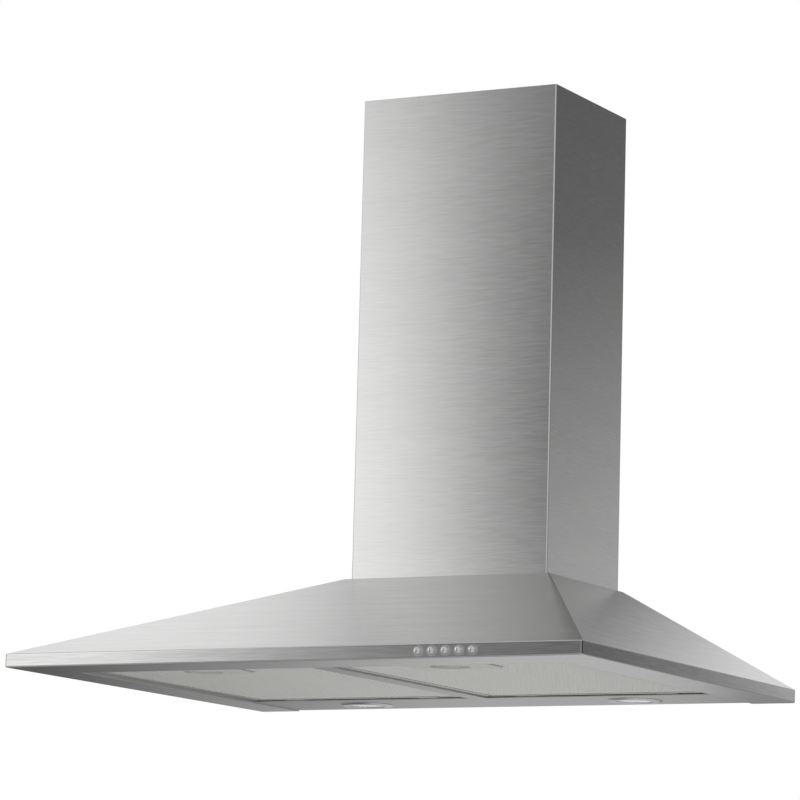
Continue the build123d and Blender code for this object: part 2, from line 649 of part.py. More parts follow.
# Wheel: forward-curved blades between a back disc and a front ring, cup over the motor
WHEEL_FRONT = WHEEL_BACK + WHEEL_LENGTH
CUP_FRONT = WHEEL_BACK + CUP_DEPTH
HUB_RADIUS = 9.0
HUB_LENGTH = 12.0
RING_WIDTH = 6.0
CUP_CHAMFER = 6.0
BLADE_INSET = 0.4            # tip inside the wheel's rim
BLADE_SWEEP = 100.0          # angle that a blade's curve turns through, root to tip
BLADE_ROOT_TURN = 55.0       # root's lean against the direction of rotation
with BuildSketch() as blade:
    with BuildLine():
        bend = (WHEEL_RADIUS - BLADE_INSET - BLADE_ROOT_RADIUS) / (
            math.sin(math.radians(BLADE_ROOT_TURN))
            + math.sin(math.radians(BLADE_SWEEP - BLADE_ROOT_TURN))
        )
        turns = [
            math.radians(BLADE_SWEEP * run / BLADE_RUNS - BLADE_ROOT_TURN)
            for run in range(BLADE_RUNS + 1)
        ]
        middle_x = BLADE_ROOT_RADIUS - bend * math.sin(turns[0])
        middle_y = bend * math.cos(turns[0])
        Polyline(
            *[
                (middle_x + reach * math.sin(turn), middle_y - reach * math.cos(turn))
                for reach, side in ((bend, turns), (bend - BLADE_THICKNESS, reversed(turns)))
                for turn in side
            ],
            close=True,
        )
    make_face()
with BuildPart() as impeller:
    with BuildSketch(AXIS_PLANE):
        with BuildLine():
            Polyline(
                (SHAFT_RADIUS + SHAFT_CLEARANCE, CUP_FRONT),
                (SHAFT_RADIUS + SHAFT_CLEARANCE, CUP_FRONT + HUB_LENGTH),
                (HUB_RADIUS, CUP_FRONT + HUB_LENGTH),
                (HUB_RADIUS, CUP_FRONT + WHEEL_SHEET),
                (CUP_WALL_RADIUS - CUP_CHAMFER, CUP_FRONT + WHEEL_SHEET),
                (CUP_WALL_RADIUS, CUP_FRONT - CUP_CHAMFER),
                (CUP_WALL_RADIUS, WHEEL_BACK + WHEEL_SHEET),
                (WHEEL_RADIUS, WHEEL_BACK + WHEEL_SHEET),
                (WHEEL_RADIUS, WHEEL_BACK),
                (CUP_WALL_RADIUS - WHEEL_SHEET, WHEEL_BACK),
                (CUP_WALL_RADIUS - WHEEL_SHEET, CUP_FRONT - CUP_CHAMFER),
                (CUP_WALL_RADIUS - CUP_CHAMFER - WHEEL_SHEET, CUP_FRONT),
                close=True,
            )
        make_face()
    revolve(axis=WHEEL_AXIS)
    with BuildSketch(Plane.XZ.offset(WHEEL_FRONT)):
        with Locations((SCROLL_X, SCROLL_Z)):
            Circle(WHEEL_RADIUS)
            Circle(WHEEL_RADIUS - RING_WIDTH, mode=Mode.SUBTRACT)
    extrude(amount=-WHEEL_SHEET)
    with BuildSketch(Plane.XZ.offset(WHEEL_BACK + WHEEL_SHEET)):
        with Locations((SCROLL_X, SCROLL_Z)):
            with PolarLocations(0, BLADE_COUNT):
                add(blade.sketch)
    extrude(amount=WHEEL_LENGTH - 2 * WHEEL_SHEET)
save(impeller, "impeller")

# Motor: closed can with a front boss, carried by three lugs at its back
MOTOR_BACK = 12.0
MOTOR_FRONT = MOTOR_BACK + MOTOR_LENGTH
BOSS_RADIUS = 11.0
BOSS_LENGTH = 8.0
LUG_SHEET = 2.0
BUSH_RADIUS = 6.0
CAN_CHAMFER = 5.0
SHAFT_BORE_DEPTH = 20.0
SHAFT_END_GAP = 1.0
LUG_REACH = 9.0              # lug's screw outside the can
LUG_RADIUS = MOTOR_RADIUS + LUG_REACH
with BuildPart() as motor_can:
    with BuildSketch(AXIS_PLANE):
        with BuildLine():
            Polyline(
                (0, MOTOR_BACK),
                (MOTOR_RADIUS, MOTOR_BACK),
                (MOTOR_RADIUS, MOTOR_FRONT - CAN_CHAMFER),
                (MOTOR_RADIUS - CAN_CHAMFER, MOTOR_FRONT),
                (BOSS_RADIUS, MOTOR_FRONT),
                (BOSS_RADIUS, MOTOR_FRONT + BOSS_LENGTH),
                (0, MOTOR_FRONT + BOSS_LENGTH),
                close=True,
            )
        make_face()
    revolve(axis=WHEEL_AXIS)
    with BuildSketch(Plane.XZ.offset(MOTOR_BACK)):
        with Locations((SCROLL_X, SCROLL_Z)):
            Circle(MOTOR_RADIUS)
            for angle in LUG_ANGLES:
                with Locations(Location((0, 0), angle)):
                    SlotCenterToCenter(2 * LUG_RADIUS, 2 * BUSH_RADIUS)
            Circle(LUG_RADIUS + BUSH_RADIUS, mode=Mode.INTERSECT)
    extrude(amount=LUG_SHEET)
    with BuildSketch(Plane.XZ.offset(MOTOR_BACK)):
        with Locations((SCROLL_X, SCROLL_Z)):
            with PolarLocations(LUG_RADIUS, len(LUG_ANGLES), LUG_ANGLES[0]):
                screw_outline(SCREW_HOLE_GAP)
    extrude(amount=LUG_SHEET, mode=Mode.SUBTRACT)
    with BuildSketch(Plane.XZ.offset(MOTOR_FRONT + BOSS_LENGTH)):
        with Locations((SCROLL_X, SCROLL_Z)):
            Circle(SHAFT_RADIUS + SHAFT_CLEARANCE)
    extrude(amount=-SHAFT_BORE_DEPTH, mode=Mode.SUBTRACT)
save(motor_can, "motor_can")

# Shaft: runs in the motor and carries the wheel's hub
NUT_WIDTH = 13.0
NUT_THICKNESS = 6.0
SHAFT_BACK = MOTOR_FRONT + BOSS_LENGTH - SHAFT_BORE_DEPTH + SHAFT_END_GAP
SHAFT_FRONT = CUP_FRONT + HUB_LENGTH + NUT_THICKNESS + 1.0
with BuildPart() as motor_shaft:
    with BuildSketch(Plane.XZ.offset(SHAFT_BACK)):
        with Locations((SCROLL_X, SCROLL_Z)):
            Circle(SHAFT_RADIUS)
    extrude(amount=SHAFT_FRONT - SHAFT_BACK)
save(motor_shaft, "motor_shaft")

# Nut that holds the wheel on the shaft
with BuildPart() as impeller_nut:
    with BuildSketch(Plane.XZ.offset(CUP_FRONT + HUB_LENGTH)):
        with Locations((SCROLL_X, SCROLL_Z)):
            RegularPolygon(NUT_WIDTH / 2, 6, major_radius=False)
            Circle(SHAFT_RADIUS + SHAFT_CLEARANCE, mode=Mode.SUBTRACT)
    extrude(amount=NUT_THICKNESS)
save(impeller_nut, "impeller_nut")

# Rubber bushes between the motor's lugs and the scroll's back plate
SCROLL_INNER_BACK = SCROLL_BACK + SCROLL_WALL
with BuildPart() as motor_rubber_mounts:
    with BuildSketch(Plane.XZ.offset(SCROLL_INNER_BACK)):
        with Locations((SCROLL_X, SCROLL_Z)):
            with PolarLocations(LUG_RADIUS, len(LUG_ANGLES), LUG_ANGLES[0]):
                Circle(BUSH_RADIUS)
                screw_outline(SCREW_HOLE_GAP, Mode.SUBTRACT)
    extrude(amount=MOTOR_BACK - SCROLL_INNER_BACK)
save(motor_rubber_mounts, "motor_rubber_mounts")

# Motor screws: heads on the lugs, ends at the scroll's back plate
with BuildPart() as motor_screws:
    with BuildSketch(Plane.XZ.offset(SCROLL_INNER_BACK)):
        with Locations((SCROLL_X, SCROLL_Z)):
            with PolarLocations(LUG_RADIUS, len(LUG_ANGLES), LUG_ANGLES[0]):
                screw_outline()
    extrude(amount=MOTOR_BACK + LUG_SHEET - SCROLL_INNER_BACK)
    with BuildSketch(Plane.XZ.offset(MOTOR_BACK + LUG_SHEET)):
        with Locations((SCROLL_X, SCROLL_Z)):
            with PolarLocations(LUG_RADIUS, len(LUG_ANGLES), LUG_ANGLES[0]):
                RegularPolygon(SCREW_HEAD_WIDTH / 2, 6, major_radius=False)
    extrude(amount=SCREW_HEAD)
save(motor_screws, "motor_screws")

# Duct collar: plate on the motor box, round spigot, seat and pin holes for the flaps
COLLAR_MARGIN = (12.0, 3.0)  # plate around the duct, sideways and front to back
COLLAR_PLATE_WIDTH = 2 * (DUCT_RADIUS + COLLAR_MARGIN[0])
COLLAR_PLATE_DEPTH = 2 * (DUCT_RADIUS + COLLAR_MARGIN[1])
COLLAR_PLATE_CORNER = 6.0
COLLAR_SCREW_INSET = (7.0, 9.0)
COLLAR_SCREW_SPREAD = (
    COLLAR_PLATE_WIDTH - 2 * COLLAR_SCREW_INSET[0],
    COLLAR_PLATE_DEPTH - 2 * COLLAR_SCREW_INSET[1],
)
COLLAR_INNER = DUCT_RADIUS - COLLAR_WALL
SPIGOT_BOTTOM = BOX_TOP + COLLAR_PLATE
FLAP_Z = SPIGOT_BOTTOM + FLAP_HEIGHT
SEAT_WIDTH = 2.5
SEAT_HEIGHT = 2.0
BRIDGE_GAP = 0.5             # between the bridge and a flap's barrel
BRIDGE_WIDTH = 2 * (FLAP_SPLIT - FLAP_BARREL - BRIDGE_GAP)
PIN_END = 0.6                # pin's end inside the collar's outer face
FLAP_BOTTOM = FLAP_Z - FLAP_THICKNESS / 2
with BuildPart() as outlet_collar:
    with BuildSketch(Plane.XY.offset(BOX_TOP)):
        with Locations((COLLAR_X, COLLAR_Y)):
            Rectangle(COLLAR_PLATE_WIDTH, COLLAR_PLATE_DEPTH)
            chamfer(vertices(), COLLAR_PLATE_CORNER)
            with GridLocations(*COLLAR_SCREW_SPREAD, 2, 2):
                screw_outline(SCREW_HOLE_GAP, Mode.SUBTRACT)
    extrude(amount=COLLAR_PLATE)
    with BuildSketch(Plane.XY.offset(BOX_TOP)):
        with Locations((COLLAR_X, COLLAR_Y)):
            Circle(DUCT_RADIUS)
    extrude(amount=COLLAR_PLATE + COLLAR_HEIGHT)
    with BuildSketch(Plane.XY.offset(BOX_TOP)):
        with Locations((COLLAR_X, COLLAR_Y)):
            Circle(COLLAR_INNER)
    extrude(amount=COLLAR_PLATE + COLLAR_HEIGHT, mode=Mode.SUBTRACT)
    with BuildSketch(Plane.XY.offset(FLAP_BOTTOM - SEAT_GAP - SEAT_HEIGHT)):
        with Locations((COLLAR_X, COLLAR_Y)):
            Circle(DUCT_RADIUS - COLLAR_WALL / 2)
            Circle(COLLAR_INNER - SEAT_WIDTH, mode=Mode.SUBTRACT)
            with Locations((0, 0)):
                Rectangle(BRIDGE_WIDTH, 2 * COLLAR_INNER)
    extrude(amount=SEAT_HEIGHT)
    with BuildSketch(Plane.XZ.offset(-COLLAR_Y)):
        with Locations((COLLAR_X, FLAP_Z)):
            with GridLocations(2 * FLAP_SPLIT, 0, 2, 1):
                Circle(FLAP_PIN + SHAFT_CLEARANCE)
    extrude(amount=DUCT_RADIUS, both=True, mode=Mode.SUBTRACT)
save(outlet_collar, "outlet_collar")

# Screws of the collar's plate
with BuildPart() as collar_screws:
    with BuildSketch(Plane.XY.offset(BOX_TOP)):
        with Locations((COLLAR_X, COLLAR_Y)):
            with GridLocations(*COLLAR_SCREW_SPREAD, 2, 2):
                screw_outline()
    extrude(amount=COLLAR_PLATE)
    with BuildSketch(Plane.XY.offset(BOX_TOP + COLLAR_PLATE)):
        with Locations((COLLAR_X, COLLAR_Y)):
            with GridLocations(*COLLAR_SCREW_SPREAD, 2, 2):
                RegularPolygon(SCREW_HEAD_WIDTH / 2, 6, major_radius=False)
    extrude(amount=SCREW_HEAD)
save(collar_screws, "collar_screws")

# Non-return flaps: half discs, each on a barrel with two pins in the collar's wall
for side, name in ((-1, "damper_flap_left"), (1, "damper_flap_right")):
    hinge_x = COLLAR_X + side * FLAP_SPLIT
    with BuildPart() as damper_flap:
        with BuildSketch(Plane.XY.offset(FLAP_BOTTOM)):
            with Locations((COLLAR_X, COLLAR_Y)):
                Circle(COLLAR_INNER - FLAP_GAP)
            with Locations((hinge_x, COLLAR_Y)):
                Rectangle(
                    DUCT_RADIUS,
                    2 * DUCT_RADIUS,
                    align=(Align.MIN if side > 0 else Align.MAX, Align.CENTER),
                    mode=Mode.INTERSECT,
                )
        extrude(amount=FLAP_THICKNESS)
        with BuildSketch(Plane.XZ.offset(-COLLAR_Y)):
            with Locations((hinge_x, FLAP_Z)):
                Circle(FLAP_BARREL)
        extrude(amount=COLLAR_INNER - SEAT_WIDTH - FLAP_GAP, both=True)
        with BuildSketch(Plane.XZ.offset(-COLLAR_Y)):
            with Locations((hinge_x, FLAP_Z)):
                Circle(FLAP_PIN)
        extrude(amount=DUCT_RADIUS - PIN_END, both=True)
    save(damper_flap, name)

# Switch unit behind the rim, under the front slope
SWITCH_FRONT = 9.0 - HOOD_DEPTH
SWITCH_Z = CANOPY_SHEET
SWITCH_RISE = 9.5
STEM_BORE_DEPTH = 16.0
STEM_LENGTH = 12.0           # in the switch unit at rest
with BuildPart() as switch_unit:
    with BuildSketch(Plane.YZ.offset(BUTTON_X)):
        with BuildLine():
            slope = math.tan(FRONT_SLOPE)
            Polyline(
                (SWITCH_FRONT, SWITCH_Z),
                (SWITCH_FRONT, SWITCH_Z + SWITCH_RISE),
                (SWITCH_FRONT + SWITCH_DEPTH, SWITCH_Z + SWITCH_RISE + SWITCH_DEPTH * slope),
                (SWITCH_FRONT + SWITCH_DEPTH, SWITCH_Z),
                close=True,
            )
        make_face()
    extrude(amount=SWITCH_WIDTH / 2, both=True)
    with BuildSketch(Plane.XZ.offset(-SWITCH_FRONT)):
        with Locations((BUTTON_X, BUTTON_Z)):
            with GridLocations(BUTTON_PITCH, 0, len(BUTTON_NAMES), 1):
                Circle(STEM_RADIUS + STEM_CLEARANCE)
    extrude(amount=-STEM_BORE_DEPTH, mode=Mode.SUBTRACT)
save(switch_unit, "switch_unit")

# Guide bushes of the buttons, with a thin collar on the rim's face
BUSH_INNER = BUTTON_RADIUS + BUTTON_CLEARANCE
BUSH_OUTER = BUSH_INNER + BUSH_WALL
BUSH_COLLAR = 0.6
BUSH_COLLAR_WIDTH = 0.7
with BuildPart() as button_bushes:
    with BuildSketch(Plane.XZ.offset(HOOD_DEPTH)):
        with Locations((BUTTON_X, BUTTON_Z)):
            with GridLocations(BUTTON_PITCH, 0, len(BUTTON_NAMES), 1):
                RegularPolygon(BUSH_OUTER, BUSH_SIDES, major_radius=False)
                Circle(BUSH_INNER, mode=Mode.SUBTRACT)
    extrude(amount=-HOOD_DEPTH - SWITCH_FRONT)
    with BuildSketch(Plane.XZ.offset(HOOD_DEPTH)):
        with Locations((BUTTON_X, BUTTON_Z)):
            with GridLocations(BUTTON_PITCH, 0, len(BUTTON_NAMES), 1):
                Circle(BUSH_OUTER + BUSH_COLLAR_WIDTH)
                Circle(BUSH_INNER, mode=Mode.SUBTRACT)
    extrude(amount=BUSH_COLLAR)
save(button_bushes, "button_bushes")

# Five push buttons: bevelled head in its bush, stem in the switch unit
HEAD_BEVEL = (0.8, 1.6)
HEAD_BACK = SWITCH_FRONT - BUTTON_TRAVEL - SEAT_GAP
HEAD_LENGTH = HEAD_BACK + HOOD_DEPTH + BUTTON_PROUD
for index, name in enumerate(BUTTON_NAMES):
    button_x = BUTTON_X + (index - (len(BUTTON_NAMES) - 1) / 2) * BUTTON_PITCH
    with BuildPart() as button:
        with BuildSketch(Plane.XZ.offset(-HEAD_BACK)):
            with Locations((button_x, BUTTON_Z)):
                Circle(BUTTON_RADIUS)
        extrude(amount=HEAD_LENGTH)
        chamfer(edges().sort_by(Axis.Y)[:1], *HEAD_BEVEL)
        with BuildSketch(Plane.XZ.offset(-HEAD_BACK)):
            with Locations((button_x, BUTTON_Z)):
                Circle(STEM_RADIUS)
        extrude(amount=HEAD_BACK - SWITCH_FRONT - STEM_LENGTH)
    save(button, name)

# Lamps: bezel below the panel, glass on its lip, holder above, capsule inside
LENS_RADIUS = LENS_VIEW_RADIUS + 4.0
SLEEVE_OUTER = LAMP_HOLE_RADIUS - 2 * FIT_GAP
SLEEVE_INNER = LENS_RADIUS + FIT_GAP
SLEEVE_RISE = 6.0
BEZEL_LIP = 1.2
BEZEL_BEVEL = 3.0
BEZEL_EDGE = 0.4
VIEW_BEVEL = (1.5, 0.5)
HOLDER_WALL = 1.0
HOLDER_FOOT = 6.5
HOLDER_TAPER = 5.0
CAPSULE_BASE = (12.0, 7.0, 6.0)
CAPSULE_RADIUS = 3.2
CAPSULE_LENGTH = 8.0
CAPSULE_TIP = 1.6
for side, end in ((-1, "left"), (1, "right")):
    lamp_axis = Axis((side * LAMP_X, LAMP_Y, 0), (0, 0, 1))
    lamp_plane = Plane(origin=(side * LAMP_X, LAMP_Y, 0), x_dir=(1, 0, 0), z_dir=(0, -1, 0))
    bezel_bottom = CANOPY_SHEET - BEZEL_PROUD
    sleeve_top = PANEL_TOP + SLEEVE_RISE
    holder_top = PANEL_TOP + LAMP_HEIGHT
    with BuildPart() as lamp_bezel:
        with BuildSketch(lamp_plane):
            with BuildLine():
                Polyline(
                    (LENS_VIEW_RADIUS, bezel_bottom + BEZEL_LIP),
                    (LENS_VIEW_RADIUS, bezel_bottom + VIEW_BEVEL[1]),
                    (LENS_VIEW_RADIUS + VIEW_BEVEL[0], bezel_bottom),
                    (BEZEL_RADIUS - BEZEL_BEVEL, bezel_bottom),
                    (BEZEL_RADIUS, CANOPY_SHEET - BEZEL_EDGE),
                    (BEZEL_RADIUS, CANOPY_SHEET),
                    (SLEEVE_OUTER, CANOPY_SHEET),
                    (SLEEVE_OUTER, sleeve_top),
                    (SLEEVE_INNER, sleeve_top),
                    (SLEEVE_INNER, bezel_bottom + BEZEL_LIP),
                    close=True,
                )
            make_face()
        revolve(axis=lamp_axis)
    save(lamp_bezel, f"lamp_bezel_{end}")

    with BuildPart() as lamp_lens:
        with BuildSketch(Plane.XY.offset(bezel_bottom + BEZEL_LIP)):
            with Locations((side * LAMP_X, LAMP_Y)):
                Circle(LENS_RADIUS)
        extrude(amount=LENS_THICKNESS)
    save(lamp_lens, f"lamp_lens_{end}")

    with BuildPart() as lamp_holder:
        with BuildSketch(lamp_plane):
            with BuildLine():
                Polyline(
                    (LAMP_HOLE_RADIUS, PANEL_TOP),
                    (LAMP_HOLE_RADIUS + HOLDER_FOOT, PANEL_TOP),
                    (LAMP_HOLE_RADIUS + HOLDER_FOOT, PANEL_TOP + HOLDER_WALL),
                    (LAMP_HOLE_RADIUS + HOLDER_WALL, PANEL_TOP + HOLDER_WALL),
                    (LAMP_HOLE_RADIUS + HOLDER_WALL, sleeve_top + HOLDER_WALL),
                    (LAMP_HOLE_RADIUS - HOLDER_TAPER, holder_top),
                    (0, holder_top),
                    (0, holder_top - HOLDER_WALL),
                    (LAMP_HOLE_RADIUS - HOLDER_TAPER - HOLDER_WALL, holder_top - HOLDER_WALL),
                    (LAMP_HOLE_RADIUS, sleeve_top + HOLDER_WALL),
                    close=True,
                )
            make_face()
        revolve(axis=lamp_axis)
    save(lamp_holder, f"lamp_holder_{end}")

    with BuildPart() as lamp_capsule:
        with BuildSketch(Plane.XY.offset(holder_top - HOLDER_WALL)):
            with Locations((side * LAMP_X, LAMP_Y)):
                Rectangle(*CAPSULE_BASE[:2])
        extrude(amount=-CAPSULE_BASE[2])
        with BuildSketch(Plane.XY.offset(holder_top - HOLDER_WALL - CAPSULE_BASE[2])):
            with Locations((side * LAMP_X, LAMP_Y)):
                Circle(CAPSULE_RADIUS)
        extrude(amount=-CAPSULE_LENGTH)
        chamfer(edges().sort_by(Axis.Z)[:1], CAPSULE_TIP)
    save(lamp_capsule, f"lamp_capsule_{end}")

# Lamp transformer on the rear strip
HOUSING_CORNER = 3.0
with BuildPart() as lamp_transformer:
    with BuildSketch(Plane.XY.offset(PANEL_TOP)):
        with Locations((0, TRANSFORMER_Y)):
            Rectangle(*TRANSFORMER_SIZE[:2])
            chamfer(vertices(), HOUSING_CORNER)
    extrude(amount=TRANSFORMER_SIZE[2])
    chamfer(faces().sort_by(Axis.Z)[-1].edges(), HOUSING_EDGE)
save(lamp_transformer, "lamp_transformer")

# Wiring box on the back plate
with BuildPart() as wiring_box:
    with BuildSketch(Plane.XZ.offset(CANOPY_SHEET)):
        with Locations(WIRING_BOX_PLACE):
            Rectangle(*WIRING_BOX_SIZE[:2])
            chamfer(vertices(), HOUSING_CORNER)
    extrude(amount=WIRING_BOX_SIZE[2])
    chamfer(faces().sort_by(Axis.Y)[0].edges(), HOUSING_EDGE)
save(wiring_box, "wiring_box")

# Motor capacitor, lying in a clip on the back plate
CAPACITOR_X, CAPACITOR_Z = CAPACITOR_PLACE
CAPACITOR_Y = -CANOPY_SHEET - CLIP_SHEET - FIT_GAP - CAPACITOR_RADIUS
with BuildPart() as motor_capacitor:
    with BuildSketch(Plane.YZ.offset(CAPACITOR_X)):
        with Locations((CAPACITOR_Y, CAPACITOR_Z)):
            Circle(CAPACITOR_RADIUS)
    extrude(amount=CAPACITOR_LENGTH / 2, both=True)
    chamfer(edges().filter_by(GeomType.CIRCLE), HOUSING_EDGE)
save(motor_capacitor, "motor_capacitor")

with BuildPart() as capacitor_clip:
    with BuildSketch(Plane.YZ.offset(CAPACITOR_X)):
        with Locations((CAPACITOR_Y, CAPACITOR_Z)):
            Circle(CAPACITOR_RADIUS + FIT_GAP + CLIP_SHEET)
        with Locations((-CANOPY_SHEET, CAPACITOR_Z)):
            Rectangle(CLIP_SHEET, CLIP_HEIGHT, align=(Align.MAX, Align.CENTER))
        with Locations((CAPACITOR_Y, CAPACITOR_Z)):
            Circle(CAPACITOR_RADIUS + FIT_GAP, mode=Mode.SUBTRACT)
    extrude(amount=CLIP_WIDTH / 2, both=True)
save(capacitor_clip, "capacitor_clip")

# Cable gland in the motor box's top
GLAND_HEX_WIDTH = 16.5
GLAND_HEX_HEIGHT = 5.0
GLAND_NECK_RADIUS = 7.5
GLAND_BELOW = 4.0            # under the box's top face
with BuildPart() as cable_gland:
    with BuildSketch(Plane.XY.offset(BOX_TOP)):
        with Locations((GLAND_X, GLAND_Y)):
            RegularPolygon(GLAND_HEX_WIDTH / 2, 6, major_radius=False)
    extrude(amount=GLAND_HEX_HEIGHT)
    with BuildSketch(Plane.XY.offset(BOX_TOP)):
        with Locations((GLAND_X, GLAND_Y)):
            Circle(GLAND_NECK_RADIUS)
    extrude(amount=GLAND_LENGTH - GLAND_BELOW)
    with BuildSketch(Plane.XY.offset(BOX_TOP)):
        with Locations((GLAND_X, GLAND_Y)):
            Circle(GLAND_BORE_RADIUS + GLAND_WALL - FIT_GAP)
    extrude(amount=-GLAND_BELOW)
    with BuildSketch(Plane.XY.offset(BOX_TOP - GLAND_BELOW)):
        with Locations((GLAND_X, GLAND_Y)):
            Circle(GLAND_BORE_RADIUS)
    extrude(amount=GLAND_LENGTH, mode=Mode.SUBTRACT)
save(cable_gland, "cable_gland")

# Grease filters and their latches, left and right alike
CASE_FRONT = FILTER_FRONT + FILTER_SHEET + FIT_GAP
PLATE_GAP = 1.0              # between the frame's lip and the plate
PLATE_FRONT = FILTER_FRONT + FILTER_LIP + PLATE_GAP
PLATE_CHAMFER = 0.8
CASE_BACK = PLATE_FRONT + LATCH_DEPTH
CASE_BOTTOM = FILTER_Z + FILTER_SHEET
CASE_DROP = 1.0              # case's top below the frame's
CASE_HEIGHT = FILTER_THICKNESS - 2 * FILTER_SHEET - CASE_DROP
FINGER_Y = (PLATE_FRONT + CASE_BACK) / 2
SLIDER_FRONT = FINGER_Y - SLIDER_DEPTH / 2 - LATCH_TRAVEL / 2
SLIDER_PLAY = 0.4
SLIDER_THICKNESS = CASE_HEIGHT - 2 * LATCH_WALL - SLIDER_PLAY
SLIDER_Y = FINGER_Y - LATCH_TRAVEL / 2
CUP_DROP = 1.8
CUP_DISH = 3.2
CUP_WALL = 1.5
CUP_TAPER = 20.0
TONGUE_RISE = 0.8            # tongue above the slider's underside
TONGUE_Z = SLIDER_Z + TONGUE_RISE
TONGUE_TIP = WINDOW_FRONT - TONGUE_GRIP
TONGUE_LOW = PANEL_TOP + SEAT_GAP
TONGUE_KNEE = WINDOW_FRONT + 0.5
TONGUE_TOE = 2.0             # tip turned up over this length
TONGUE_LIFT = 1.0
NOTCH_GAP = (1.5, 0.5)       # around the tongue, sideways and above
NOTCH_TOP = TONGUE_Z + TONGUE_SHEET + NOTCH_GAP[1]
NOTCH_WIDTH = TONGUE_WIDTH + 2 * NOTCH_GAP[0]
SPRING_RADIUS = 1.6
SPRING_WIRE = 0.5
SPRING_SIDES = 8
